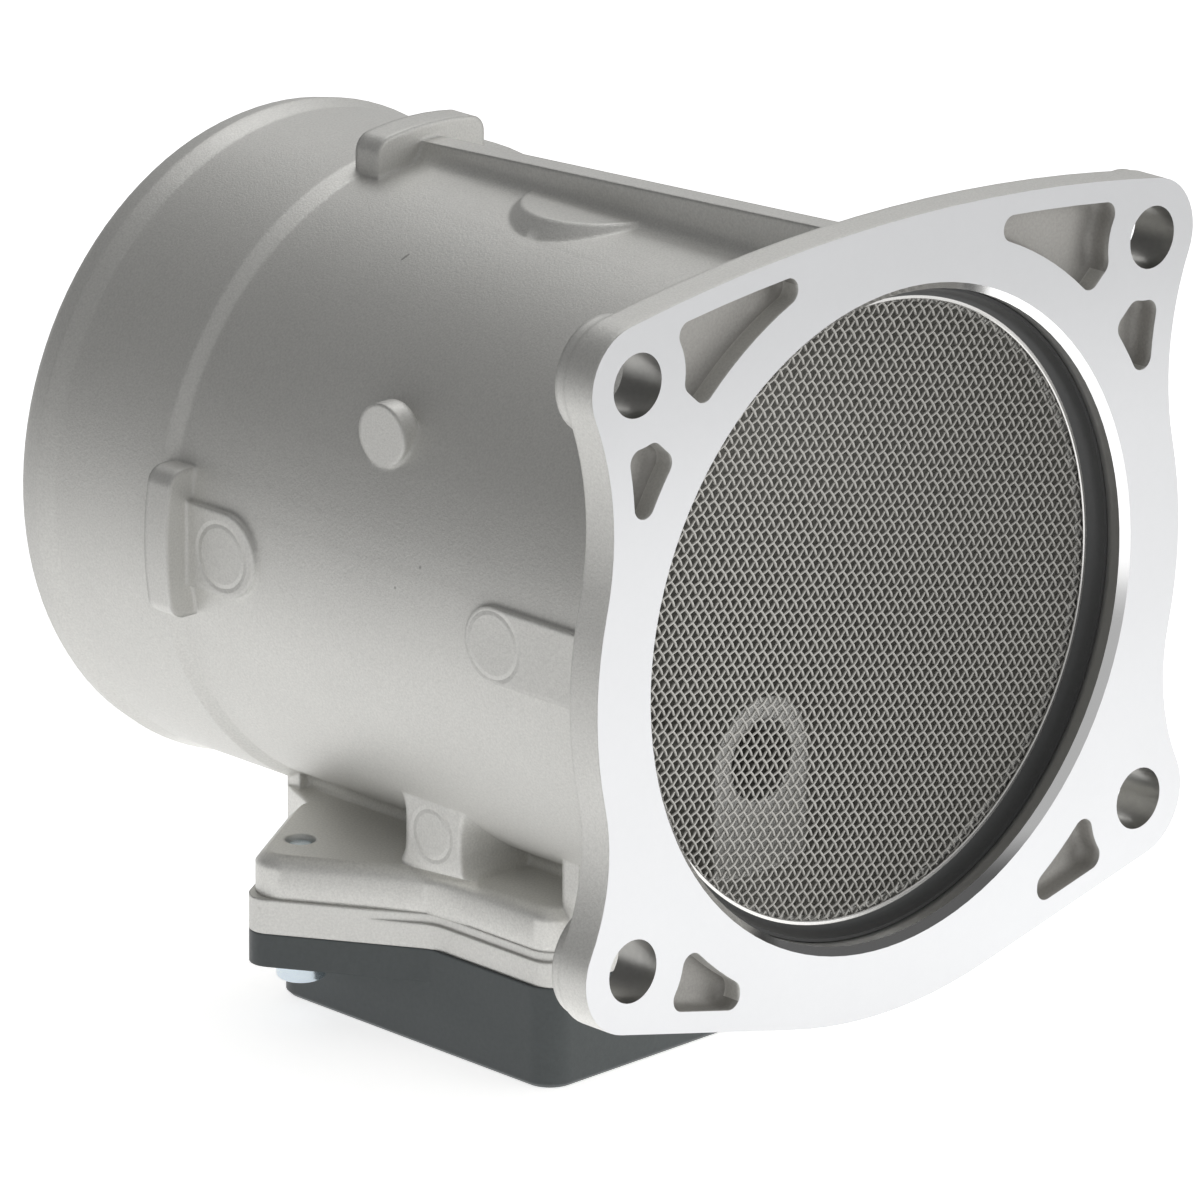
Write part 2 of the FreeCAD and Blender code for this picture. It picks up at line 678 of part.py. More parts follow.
def make_casting():
    """Metering tube, flange, rib, lugs, pads, pedestal and sampling nozzle in one casting."""
    body = new_body("casting")
    make_pad(body)
    crest = d.tube_length - d.bead_crest_back
    bead_radius = spigot_radius + d.bead_height
    fillet_far = d.flange_fillet * (1 - root(as_size(3)) / 2)
    fillet_near = d.flange_fillet / 2
    fillet_back = d.flange_thickness + d.flange_fillet
    profile = new_sketch(body, "tube_profile", "XY_Plane")
    add_loop(profile, [
        (0, 0),
        (tube_radius + d.flange_fillet, 0),
        (tube_radius + d.flange_fillet, d.flange_thickness),
        (tube_radius + fillet_near, d.flange_thickness + fillet_far),
        (tube_radius + fillet_far, d.flange_thickness + fillet_near),
        (tube_radius, fillet_back),
        (tube_radius, d.shoulder_start),
        (spigot_radius, d.shoulder_start + d.shoulder_run),
        (spigot_radius, crest - d.bead_run),
        (bead_radius, crest),
        (bead_radius, d.tube_length - d.end_bevel),
        (bead_radius - d.end_bevel, d.tube_length),
        (0, d.tube_length),
    ])
    turn(body, profile)

    outline = new_sketch(body, "flange_outline", "XZ_Plane")
    flange_outline(outline)
    extrude(body, outline, d.flange_thickness, backwards=True)

    def back_rim(edge):
        box = edge.BoundBox
        middle = edge.CenterOfMass
        on_back = box.YMin > d.flange_thickness.value - NEAR
        past_fillet = math.hypot(middle.x, middle.z) > tube_radius.value + d.flange_fillet.value
        return on_back and box.YMax < d.flange_thickness.value + NEAR and past_fillet

    finish_edges(body, "Chamfer", "flange_back_rim", d.flange_edge_bevel, back_rim)
    bosses = new_sketch(body, "bolt_bosses", "XZ_Plane", -d.flange_thickness / 2)
    for x, z in BOLT_PLACES:
        add_circle(bosses, x, z, d.bolt_boss_radius)
    extrude(body, bosses, d.flange_thickness / 2 + d.bolt_boss_step, backwards=True)

    rib = new_sketch(body, "rib_side", "YZ_Plane")
    rib_end = lug_start + d.lug_thickness / 2
    rib_root = d.bore_radius + d.tube_wall / 2
    add_loop(rib, [
        (d.flange_thickness / 2, rib_root),
        (rib_end, rib_root),
        (rib_end, tube_radius + d.rib_back_rise),
        (d.flange_thickness / 2, tube_radius + d.rib_front_rise),
    ])
    extrude(body, rib, d.rib_thickness, midplane=True)

    foot = new_sketch(body, "rib_foot", "XZ_Plane", -d.flange_thickness / 2)
    half_rib = d.rib_thickness / 2
    foot_x = half_rib + d.rib_foot_radius
    foot_reach = tube_radius + d.rib_foot_radius
    foot_z = root(foot_reach * foot_reach - foot_x * foot_x)
    touch_x = foot_x * tube_radius / foot_reach
    touch_z = foot_z * tube_radius / foot_reach
    add_loop(foot, [
        (-touch_x, rib_root),
        (touch_x, rib_root),
        (touch_x, touch_z, -d.rib_foot_radius),
        (half_rib, foot_z),
        (-half_rib, foot_z, -d.rib_foot_radius),
        (-touch_x, touch_z),
    ])
    extrude(body, foot, lug_start - d.flange_thickness / 2, backwards=True)

    lugs = new_sketch(body, "hose_stops", "XZ_Plane", -lug_start)
    lug_root = d.bore_radius + d.tube_wall / 2
    side_reach = root(lug_radius * lug_radius - d.side_lug_half * d.side_lug_half)
    top_reach = root(top_lug_radius * top_lug_radius - d.top_lug_half * d.top_lug_half)
    side_root = root(lug_root * lug_root - d.side_lug_half * d.side_lug_half)
    top_root = root(lug_root * lug_root - d.top_lug_half * d.top_lug_half)
    add_loop(lugs, [
        (side_root, -d.side_lug_half),
        (side_reach, -d.side_lug_half, lug_radius),
        (side_reach, d.side_lug_half),
        (side_root, d.side_lug_half, -lug_root),
    ])
    add_loop(lugs, [
        (-side_root, d.side_lug_half),
        (-side_reach, d.side_lug_half, lug_radius),
        (-side_reach, -d.side_lug_half),
        (-side_root, -d.side_lug_half, -lug_root),
    ])
    add_loop(lugs, [
        (d.top_lug_half, top_root),
        (d.top_lug_half, top_reach, top_lug_radius),
        (-d.top_lug_half, top_reach),
        (-d.top_lug_half, top_root, -lug_root),
    ])
    extrude(body, lugs, d.lug_thickness, backwards=True)

    def lug_corner(edge):
        middle = edge.CenterOfMass
        past_tube = math.hypot(middle.x, middle.z) > lug_radius.value - NEAR
        return along(edge, Y_AXIS) and past_tube and middle.y > lug_start.value

    finish_edges(body, "Fillet", "lug_corners", d.lug_corner, lug_corner)

    moon = new_sketch(body, "round_pad", "XY_Plane", tube_radius + d.round_pad_height)
    add_circle(moon, 0, d.round_pad_middle, d.round_pad_radius)
    pad_depth = d.round_pad_height + 3 * d.tube_wall / 4
    drafted = extrude(body, moon, pad_depth, backwards=True)
    drafted.setExpression("TaperAngle", d.round_pad_draft.formula)

    make_side_pads(body)
    make_pedestal(body)
    bore_out(body)
    make_nozzle(body)
    return body


def make_side_pads(body):
    """Flat cast pads and round pin bosses on both sides of the tube."""
    pad_depth = d.side_pad_height + d.tube_wall / 2
    pad_face = tube_radius + d.side_pad_height
    back_pad_start = lug_start - d.back_pad_length
    boss_depth = pin_boss_face + d.tube_wall - d.bore_radius
    for side, sign in (("left", -1), ("right", 1)):
        pads = new_sketch(body, side + "_pads", "YZ_Plane", sign * pad_face)
        front_straight = d.front_pad_length - d.front_pad_half
        add_loop(pads, [
            (d.flange_thickness / 2, -d.front_pad_half),
            (front_straight, -d.front_pad_half, d.front_pad_half),
            (d.front_pad_length, 0, d.front_pad_half),
            (front_straight, d.front_pad_half),
            (d.flange_thickness / 2, d.front_pad_half),
        ])
        add_loop(pads, [
            (lug_start + d.lug_thickness / 2, d.back_pad_half),
            (back_pad_start + d.back_pad_half, d.back_pad_half, d.back_pad_half),
            (back_pad_start, 0, d.back_pad_half),
            (back_pad_start + d.back_pad_half, -d.back_pad_half),
            (lug_start + d.lug_thickness / 2, -d.back_pad_half),
        ])
        extrude(body, pads, pad_depth, backwards=sign > 0)
        boss = new_sketch(body, side + "_pin_boss", "YZ_Plane", sign * pin_boss_face)
        add_circle(boss, d.pin_boss_middle, d.pin_boss_high, d.pin_boss_radius)
        extrude(body, boss, boss_depth, backwards=sign > 0)


def make_pedestal(body):
    """Two webs and a middle post between the tube and its pad, and the pad's tail."""
    tail = new_sketch(body, "pedestal_tail", "XY_Plane", -d.pedestal_bottom)
    plate_back = d.module_middle + d.module_half_length
    tail_half = d.back_web_face
    add_loop(tail, [
        (-tail_half - d.module_corner, plate_back - d.module_corner),
        (tail_half + d.module_corner, plate_back - d.module_corner),
        (tail_half, back_web_end),
        (-tail_half, back_web_end),
    ])
    extrude(body, tail, d.pedestal_thickness)

    webs = new_sketch(body, "pedestal_webs", "XY_Plane", -d.pedestal_bottom)
    front_start = d.module_middle - d.front_web_ahead
    front_end = front_start + d.front_web_thickness
    post_start = d.module_middle - d.post_ahead
    post_end = post_start + d.post_length
    back_start = back_web_end - d.back_web_thickness
    add_loop(webs, rectangle(-d.front_web_face, front_start, d.front_web_face, front_end))
    add_loop(webs, rectangle(-d.post_face, post_start, d.post_face, post_end))
    add_loop(webs, rectangle(-d.back_web_face, back_start, d.back_web_face, back_web_end))
    web_rise = root(tube_radius * tube_radius - d.post_face * d.post_face)
    extrude(body, webs, d.pedestal_bottom - web_rise)


def bore_out(body):
    """Turns the bore and the recess that takes the inlet screen."""
    lead = d.cutter_lead
    bore = new_sketch(body, "bore_profile", "XY_Plane")
    chamfered = recess_radius + d.recess_chamfer
    add_loop(bore, [
        (0, -lead),
        (chamfered, -lead),
        (chamfered, 0),
        (recess_radius, d.recess_chamfer),
        (recess_radius, d.recess_depth),
        (d.bore_radius, d.recess_depth),
        (d.bore_radius, d.tube_length + lead),
        (0, d.tube_length + lead),
    ])
    turn(body, bore, "Groove")


def make_nozzle(body):
    """Sampling nozzle that stands on the bore's floor, with the probe bore below it."""
    nozzle = new_sketch(body, "nozzle_section", "XZ_Plane", -nozzle_start)
    foot = d.bore_radius + d.tube_wall / 2
    add_loop(nozzle, [
        (-d.nozzle_radius, -foot),
        (d.nozzle_radius, -foot),
        (d.nozzle_radius, -d.nozzle_drop, d.nozzle_radius),
        (0, d.nozzle_radius - d.nozzle_drop, d.nozzle_radius),
        (-d.nozzle_radius, -d.nozzle_drop),
    ])
    extrude(body, nozzle, d.nozzle_length, backwards=True)
    passage = new_sketch(body, "passage_section", "XZ_Plane", -nozzle_start)
    add_circle(passage, 0, -d.nozzle_drop, d.passage_radius)
    extrude(body, passage, d.nozzle_length, "Pocket", backwards=True)
    probe_bore = new_sketch(body, "probe_bore", "XY_Plane", -d.pedestal_bottom)
    add_circle(probe_bore, 0, probe_y, d.probe_bore_radius)
    extrude(body, probe_bore, d.pedestal_bottom - probe_bore_top, "Pocket")
    holes = new_sketch(body, "ear_threads", "XY_Plane", -d.pedestal_bottom)
    for place in SCREW_PLACES:
        add_circle(holes, place[0], place[1], d.screw_radius + d.thread_gap)
    extrude(body, holes, d.pedestal_thickness, "Pocket")
    bolts = new_sketch(body, "bolt_holes", "XZ_Plane")
    for x, z in BOLT_PLACES:
        add_circle(bolts, x, z, d.bolt_hole_radius)
    extrude(body, bolts, d.flange_thickness + d.bolt_boss_step, "Pocket", backwards=True)


def make_pocket_cores(outline):
    """Cores of the blind flange pockets: the flange outline less the lands it keeps."""
    face = Part.Face(Part.Wire(Part.__sortEdges__(outline.Shape.Edges)))
    region = face.makeOffset2D(-d.pocket_rim.value, 0)
    side_rim = face.cut(face.makeOffset2D(-d.side_pocket_rim.value, 0))
    reach = d.waist_radius.value * 2

    def disc(x, z, radius):
        circle = Part.makeCircle(radius.value, FreeCAD.Vector(x, 0, z), Y_AXIS)
        return Part.Face(Part.Wire(circle))

    def strip(half_width, start, end):
        run = end - start
        aside = FreeCAD.Vector(-run.z, 0, run.x).normalize() * half_width
        corners = [start - aside, end - aside, end + aside, start + aside]
        return Part.Face(Part.makePolygon(corners + corners[:1]))

    centre = FreeCAD.Vector(0, 0, 0)
    lands = [disc(0, 0, recess_radius + d.bore_land_width)]
    lands.append(strip(d.crown_land_half.value, centre, FreeCAD.Vector(0, 0, reach)))
    lands.append(strip(d.bottom_land_half.value, centre, FreeCAD.Vector(0, 0, -reach)))
    side_half = (d.side_land_top.value + d.bolt_low.value) / 2
    side_middle = d.side_land_top.value - side_half
    rib_half = d.land_rib_half.value
    for sign in (-1, 1):
        half_wide = sign * d.bolt_half_wide.value
        high = d.bolt_high.value
        low = -d.bolt_low.value
        lands.append(disc(half_wide, high, d.upper_boss_radius))
        lands.append(disc(half_wide, low, d.lower_boss_radius))
        lands.append(strip(rib_half, centre, FreeCAD.Vector(half_wide, 0, high)))
        lands.append(strip(rib_half, centre, FreeCAD.Vector(half_wide, 0, low)))
        corner_half = (high - d.side_land_top.value) / 2
        corner_start = FreeCAD.Vector(0, 0, high - corner_half)
        corner_end = FreeCAD.Vector(sign * reach, 0, high - corner_half)
        lands.append(strip(corner_half, corner_start, corner_end).common(side_rim))
        side_start = FreeCAD.Vector(0, 0, side_middle)
        lands.append(strip(side_half, side_start, FreeCAD.Vector(sign * reach, 0, side_middle)))
    for land in lands:
        region = region.cut(land)
    depth = d.pocket_depth.value
    corner = d.pocket_corner.value
    cores = []
    for piece in region.Faces:
        rounded = piece.makeOffset2D(-corner, 0).makeOffset2D(corner, 0)
        core = rounded.extrude(Y_AXIS * depth)
        deep = [edge for edge in core.Edges if edge.BoundBox.YMin > depth - NEAR]
        cores.append(core.makeChamfer(d.pocket_floor_bevel.value, deep))
    feature = doc.addObject("Part::Feature", "flange_pocket_cores")
    feature.Shape = Part.makeCompound(cores)
    return feature


def new_box(name, low, spans):
    """A Part::Box from its low corner and its spans, all bound to sizes."""
    box = doc.addObject("Part::Box", name)
    for axis, corner, prop, span in zip("xyz", low, ("Length", "Width", "Height"), spans):
        box.setExpression("Placement.Base." + axis, as_size(corner).formula)
        box.setExpression(prop, as_size(span).formula)
    return box


def new_cylinder(name, radius, height, foot, axis=Z_AXIS):
    """A Part::Cylinder that starts at foot and runs along an axis."""
    cylinder = doc.addObject("Part::Cylinder", name)
    cylinder.Placement.Rotation = FreeCAD.Rotation(Z_AXIS, axis)
    cylinder.setExpression("Radius", as_size(radius).formula)
    cylinder.setExpression("Height", as_size(height).formula)
    for letter, place in zip("xyz", foot):
        cylinder.setExpression("Placement.Base." + letter, as_size(place).formula)
    return cylinder


def join(kind, name, *members):
    """Joins members with a Part boolean or, for Compound, as a group."""
    item = doc.addObject("Part::" + kind, name)
    if kind == "Cut":
        item.Base, item.Tool = members
    elif kind == "Compound":
        item.Links = members
    else:
        item.Shapes = members
    item.Label = name
    return item


def make_screen():
    """Inlet screen: two crossed layers of strips in a round rim, one solid."""
    outer = recess_radius.value - d.screen_gap.value
    inner = outer - d.screen_rim_width.value
    thick = d.screen_thickness.value
    pitch = d.screen_pitch.value
    width = pitch * d.screen_wire_share.value
    front = FreeCAD.Vector(0, d.recess_depth.value - thick, 0)
    rim = Part.makeCylinder(outer, thick, front, Y_AXIS)
    rim = rim.cut(Part.makeCylinder(inner, thick, front, Y_AXIS))
    trim = Part.makeCylinder((outer + inner) / 2, thick, front, Y_AXIS)
    count = int(inner / pitch)
    strips = []
    for layer, turned in enumerate((0, 90)):
        spin = FreeCAD.Rotation(Y_AXIS, -d.screen_angle.value - turned)
        layer_front = front.y + layer * thick / 2
        for index in range(-count, count + 1):
            low = FreeCAD.Vector(-outer, layer_front, index * pitch - width / 2)
            strip = Part.makeBox(2 * outer, thick / 2, width, low)
            strip.rotate(FreeCAD.Vector(0, 0, 0), spin.Axis, math.degrees(spin.Angle))
            strips.append(strip.common(trim))
    screen = doc.addObject("Part::Feature", "inlet_screen")
    screen.Shape = rim.multiFuse(strips).removeSplitter()
    return screen


def make_screen_rings():
    """Pale metal rim on the screen's edge and the black ring that holds it."""
    screen_front = d.recess_depth - d.screen_thickness
    outer = recess_radius - d.ring_gap
    rim = new_body("screen_rim")
    section = new_sketch(rim, "rim_section", "XY_Plane")
    rim_front = screen_front - d.rim_thickness
    add_loop(section, rectangle(screen_open_radius, rim_front, outer, screen_front))
    turn(rim, section)
    ring = new_body("screen_retaining_ring")
    section = new_sketch(ring, "ring_section", "XY_Plane")
    cove_radius = screen_open_radius + d.rim_overlap
    add_loop(section, [
        (outer - d.ring_lip, rim_front - d.ring_depth),
        (outer, rim_front - d.ring_depth),
        (outer, rim_front),
        (cove_radius, rim_front),
        (cove_radius + d.ring_cove_step, rim_front - d.ring_cove_run),
    ])
    turn(ring, section)
    return [rim, ring]


def make_base_plate():
    """Aluminium plate between the pedestal and the plastic case, stepped at its top."""
    plate = new_body("module_base_plate")
    lower = new_sketch(plate, "plate_outline", "XY_Plane", -plate_bottom)
    add_ear_outline(lower)
    extrude(plate, lower, d.plate_thickness - d.plate_step)
    step_bottom = d.pedestal_bottom + d.plate_step
    upper = new_sketch(plate, "plate_step", "XY_Plane", -step_bottom)
    add_ear_outline(upper, d.plate_step_inset)
    extrude(plate, upper, d.plate_step)
    holes = new_sketch(plate, "plate_holes", "XY_Plane", -plate_bottom)
    add_circle(holes, 0, probe_y, d.probe_bore_radius)
    for place in SCREW_PLACES:
        add_circle(holes, place[0], place[1], d.screw_radius + d.screw_clearance)
    extrude(plate, holes, d.plate_thickness, "Pocket")
    seat = new_sketch(plate, "collar_seat", "XY_Plane", -plate_bottom)
    add_circle(seat, 0, probe_y, d.probe_collar_radius)
    extrude(plate, seat, d.probe_collar_height, "Pocket")
    groove = new_sketch(plate, "seal_groove", "XY_Plane", -d.pedestal_bottom)
    add_circle(groove, 0, probe_y, d.seal_radius)
    add_circle(groove, 0, probe_y, d.seal_radius + d.seal_width)
    extrude(plate, groove, d.seal_depth, "Pocket", backwards=True)
    return plate


def make_module_seal():
    """Rubber ring in the plate's groove, pressed flat against the pedestal."""
    seal = new_body("module_seal")
    bottom = d.pedestal_bottom + d.seal_depth
    ring = new_sketch(seal, "seal_ring", "XY_Plane", -bottom)
    add_circle(ring, 0, probe_y, d.seal_radius + d.seal_gap)
    add_circle(ring, 0, probe_y, d.seal_radius + d.seal_width - d.seal_gap)
    extrude(seal, ring, d.seal_depth)
    return seal


def make_probe():
    """Plastic probe that carries the posts into the nozzle, with its sealing ring."""
    probe = new_body("probe_body")
    stem_radius = d.probe_bore_radius - d.probe_gap
    groove_radius = d.probe_bore_radius - d.probe_seal_section
    seal_top = d.pedestal_bottom - d.probe_seal_below
    collar = new_sketch(probe, "probe_collar", "XY_Plane", -plate_bottom)
    add_circle(collar, 0, probe_y, d.probe_collar_radius - d.probe_gap)
    extrude(probe, collar, d.probe_collar_height)
    stem = new_sketch(probe, "probe_stem", "XY_Plane", -plate_bottom)
    add_circle(stem, 0, probe_y, stem_radius)
    extrude(probe, stem, plate_bottom - probe_bore_top - d.probe_top_gap)
    groove = new_sketch(probe, "probe_groove", "XY_Plane", -seal_top)
    add_circle(groove, 0, probe_y, groove_radius)
    add_circle(groove, 0, probe_y, d.probe_bore_radius)
    groove_width = d.probe_seal_section + 2 * d.probe_seal_gap
    extrude(probe, groove, groove_width, "Pocket", backwards=True)
    holes = new_sketch(probe, "post_holes", "XY_Plane", -plate_bottom)
    for x, y in POST_PLACES:
        add_circle(holes, x, y, d.post_radius + d.post_hole_gap)
    extrude(probe, holes, plate_bottom, "Pocket")

    seal = new_body("probe_seal")
    ring = new_sketch(seal, "probe_ring", "XY_Plane", -seal_top - groove_width + d.probe_seal_gap)
    add_circle(ring, 0, probe_y, groove_radius + d.probe_seal_gap)
    add_circle(ring, 0, probe_y, d.probe_bore_radius - d.probe_seal_gap)
    extrude(seal, ring, d.probe_seal_section)
    return [probe, seal]


def make_elements():
    """Four steel posts and the two wound ceramic elements welded across them."""
    post_top = d.nozzle_drop - d.post_tip_above
    posts = [
        new_cylinder("post_%d" % number, d.post_radius, board_drop - post_top, (x, y, -board_drop))
        for number, (x, y) in enumerate(POST_PLACES, start=1)
    ]
    nodes = [join("Compound", "element_posts", *posts)]
    lead_half = d.post_half_gap - d.post_radius - d.lead_gap
    elements = (
        ("hot_element", -d.post_half_step, d.hot_bead_length),
        ("air_temperature_element", d.post_half_step, d.air_bead_length),
    )
    for label, step, length in elements:
        y = probe_y + step
        start = (-lead_half, y, -d.nozzle_drop)
        lead = new_cylinder(label + "_lead", d.lead_radius, 2 * lead_half, start, X_AXIS)
        bead_start = (-length / 2, y, -d.nozzle_drop)
        bead = new_cylinder(label + "_bead", d.bead_radius, length, bead_start, X_AXIS)
        nodes.append(join("MultiFuse", label, lead, bead))
    return nodes


def make_case():
    """Black moulded case: eared flange, box, board pillars and connector shell."""
    case = new_body("module_case")
    flange = new_sketch(case, "case_flange", "XY_Plane", -case_flange_bottom)
    add_ear_outline(flange)
    extrude(case, flange, d.case_flange_thickness)
    walls = new_sketch(case, "case_box", "XY_Plane", -cover_top)
    add_loop(walls, case_rectangle(0, d.case_corner))
    extrude(case, walls, d.case_depth)

    shell_top = d.shell_half_height - shell_middle_drop
    shell_bottom = -d.shell_half_height - shell_middle_drop
    shell_low = shell_middle - d.shell_half_width
    shell_high = shell_middle + d.shell_half_width
    shell_end = case_half_width + d.shell_reach
    shell = new_sketch(case, "shell_outline", "YZ_Plane", shell_end)
    add_loop(shell, rounded_rectangle(shell_low, shell_bottom, shell_high, shell_top, d.shell_corner))
    extrude(case, shell, d.shell_reach, backwards=True)
    latch = new_sketch(case, "latch_side", "XZ_Plane", -shell_middle)
    latch_end = shell_end - d.latch_setback
    latch_root = shell_top - d.shell_wall / 2
    add_loop(latch, [
        (latch_end - d.latch_length, latch_root),
        (latch_end, latch_root),
        (latch_end, shell_top),
        (latch_end - d.latch_length, shell_top + d.latch_height),
    ])
    extrude(case, latch, 2 * d.latch_half_width, midplane=True)

    cavity = new_sketch(case, "case_cavity", "XY_Plane", -cover_top)
    add_loop(cavity, case_rectangle(d.case_wall, d.case_corner - d.case_wall))
    extrude(case, cavity, d.case_depth - d.case_roof, "Pocket")
    socket = new_sketch(case, "socket_opening", "YZ_Plane", shell_end)
    add_loop(socket, rounded_rectangle(
        shell_low + d.shell_wall,
        shell_bottom + d.shell_wall,
        shell_high - d.shell_wall,
        shell_top - d.shell_wall,
        d.shell_corner - d.shell_wall,
    ))
    extrude(case, socket, d.socket_depth, "Pocket", backwards=True)

    pillars = new_sketch(case, "board_pillars", "XY_Plane", -board_drop)
    for x_sign in (-1, 1):
        for y_sign in (-1, 1):
            far_x = x_sign * (board_half_wide - d.pillar_inset)
            near_x = far_x - x_sign * d.pillar_side
            far_y = board_middle + y_sign * (board_length / 2 - d.pillar_inset)
            near_y = far_y - y_sign * d.pillar_side
            low_x, high_x = (near_x, far_x) if x_sign > 0 else (far_x, near_x)
            low_y, high_y = (near_y, far_y) if y_sign > 0 else (far_y, near_y)
            add_loop(pillars, rectangle(low_x, low_y, high_x, high_y))
    pillar_height = board_drop - plate_bottom - d.case_roof / 2
    extrude(case, pillars, pillar_height)

    slots = new_sketch(case, "terminal_slots", "YZ_Plane", shell_end)
    for y in terminal_places():
        gap = d.terminal_gap
        add_loop(slots, rectangle(
            y - d.terminal_width / 2 - gap,
            -board_drop - gap,
            y + d.terminal_width / 2 + gap,
            d.terminal_thickness - board_drop + gap,
        ))
    slot_length = d.shell_reach + d.case_wall + d.terminal_hold
    extrude(case, slots, slot_length, "Pocket", backwards=True)
    holes = new_sketch(case, "bushing_holes", "XY_Plane", -case_flange_bottom)
    for place in SCREW_PLACES:
        add_circle(holes, place[0], place[1], bushing_radius + d.bushing_gap)
    extrude(case, holes, d.case_flange_thickness, "Pocket")
    window = new_sketch(case, "post_window", "XY_Plane", -case_flange_bottom)
    add_circle(window, 0, probe_y, d.probe_window_radius)
    extrude(case, window, d.case_flange_thickness, "Pocket")
    return case


def case_rectangle(inset, corner):
    """Rounded outline of the case's box, moved inwards by inset."""
    side = case_half_width - inset
    return rounded_rectangle(-side, case_front + inset, side, case_back - inset, corner)


def terminal_places():
    """Places of the five terminals along Y, centred on the connector shell."""
    return [shell_middle + step * d.terminal_pitch for step in (-2, -1, 0, 1, 2)]


def make_cover():
    """Bottom cover of the case: a shallow tray whose lip plugs into the case."""
    cover = new_body("module_cover")
    tray = new_sketch(cover, "cover_outline", "XY_Plane", -cover_bottom)
    add_loop(tray, case_rectangle(0, d.case_corner))
    extrude(cover, tray, d.cover_height)
    bottom = -cover_bottom.value

    def bottom_edge(edge):
        return edge.BoundBox.ZMax < bottom + NEAR

    finish_edges(cover, "Chamfer", "cover_edge", d.cover_edge_bevel, bottom_edge)
    lip_inset = d.case_wall + d.cover_gap
    lip = new_sketch(cover, "cover_lip", "XY_Plane", -cover_top)
    add_loop(lip, case_rectangle(lip_inset, d.case_corner - lip_inset))
    extrude(cover, lip, d.cover_lip)
    hollow = new_sketch(cover, "cover_hollow", "XY_Plane", d.cover_lip - cover_top)
    hollow_inset = lip_inset + d.cover_lip
    add_loop(hollow, case_rectangle(hollow_inset, d.cover_hollow_corner))
    hollow_depth = d.cover_height - d.cover_floor + d.cover_lip
    extrude(cover, hollow, hollow_depth, "Pocket", backwards=True)
    return cover


def make_board_parts():
    """Circuit board, soft gel under it, and the parts and terminals on it."""
    corner_x = -board_half_wide
    corner_y = board_middle - board_length / 2
    wide = 2 * board_half_wide
    board = new_box(
        "circuit_board",
        (corner_x, corner_y, -board_bottom),
        (wide, board_length, d.board_thickness),
    )
    gel = new_box(
        "potting_gel",
        (corner_x, corner_y, -board_bottom - d.gel_thickness),
        (wide, board_length, d.gel_thickness),
    )
    nodes = [board, gel]
    parts = ("control_chip", "power_transistor", "precision_resistor")
    for label in parts:
        across, along_y, length, width, height = (
            getattr(d, "%s_%s" % (label.split("_")[1], word))
            for word in ("across", "along", "length", "width", "height")
        )
        low = (corner_x + across, corner_y + along_y, -board_drop)
        nodes.append(new_box(label, low, (length, width, height)))
    capacitors = []
    for number in range(4):
        y = corner_y + d.capacitor_along + number * d.capacitor_pitch
        low = (corner_x + d.capacitor_across, y, -board_drop)
        spans = (d.capacitor_length, d.capacitor_width, d.capacitor_height)
        capacitors.append(new_box("capacitor_%d" % (number + 1), low, spans))
    nodes.append(join("Compound", "capacitors", *capacitors))
    terminals = []
    terminal_start = board_half_wide - d.terminal_hold
    terminal_length = case_half_width + d.terminal_reach - terminal_start
    for number, y in enumerate(terminal_places(), start=1):
        low = (terminal_start, y - d.terminal_width / 2, -board_drop)
        spans = (terminal_length, d.terminal_width, d.terminal_thickness)
        terminals.append(new_box("terminal_%d" % number, low, spans))
    nodes.append(join("Compound", "connector_terminals", *terminals))
    return nodes


def make_fasteners():
    """Two cap screws from below, and the steel bushings that take their clamping load."""
    tip = pedestal_top + d.screw_tip_below
    head_bottom = case_flange_bottom + d.screw_head_height
    screws = []
    bushings = []
    for number, (x, y) in enumerate(SCREW_PLACES, start=1):
        foot = (x, y, -head_bottom)
        head = new_cylinder("head_%d" % number, d.screw_head_radius, d.screw_head_height, foot)
        shank = new_cylinder("shank_%d" % number, d.screw_radius, head_bottom - tip, foot)
        whole = join("MultiFuse", "blank_%d" % number, head, shank)
        socket = doc.addObject("Part::Prism", "key_%d" % number)
        socket.Polygon = 6
        socket.setExpression("Circumradius", d.screw_socket_radius.formula)
        socket.setExpression("Height", d.screw_socket_depth.formula)
        for letter, place in zip("xyz", foot):
            socket.setExpression("Placement.Base." + letter, as_size(place).formula)
        screws.append(join("Cut", "screw_%d" % number, whole, socket))
        low = (x, y, -case_flange_bottom)
        sleeve = new_cylinder("sleeve_%d" % number, bushing_radius, d.case_flange_thickness, low)
        hole_radius = d.screw_radius + d.screw_clearance
        hole = new_cylinder("sleeve_hole_%d" % number, hole_radius, d.case_flange_thickness, low)
        bushings.append(join("Cut", "bushing_%d" % number, sleeve, hole))
    return [
        join("Compound", "module_screws", *screws),
        join("Compound", "ear_bushings", *bushings),
    ]


POST_PLACES = [
    (x_sign * d.post_half_gap, probe_y + y_sign * d.post_half_step)
    for y_sign in (-1, 1)
    for x_sign in (-1, 1)
]
board_middle = case_front + d.case_length / 2
shell_middle_drop = board_drop - d.terminal_thickness / 2
bushing_radius = d.screw_radius + d.screw_clearance + d.bushing_wall

casting = make_casting()
doc.recompute()
meter_body = join("Cut", "meter_body", casting, make_pocket_cores(doc.getObject("flange_outline")))

nodes = [meter_body, make_screen(), *make_screen_rings()]
nodes += [make_base_plate(), make_module_seal(), *make_probe(), *make_elements()]
nodes += [make_case(), make_cover(), *make_board_parts(), *make_fasteners()]
doc.recompute()

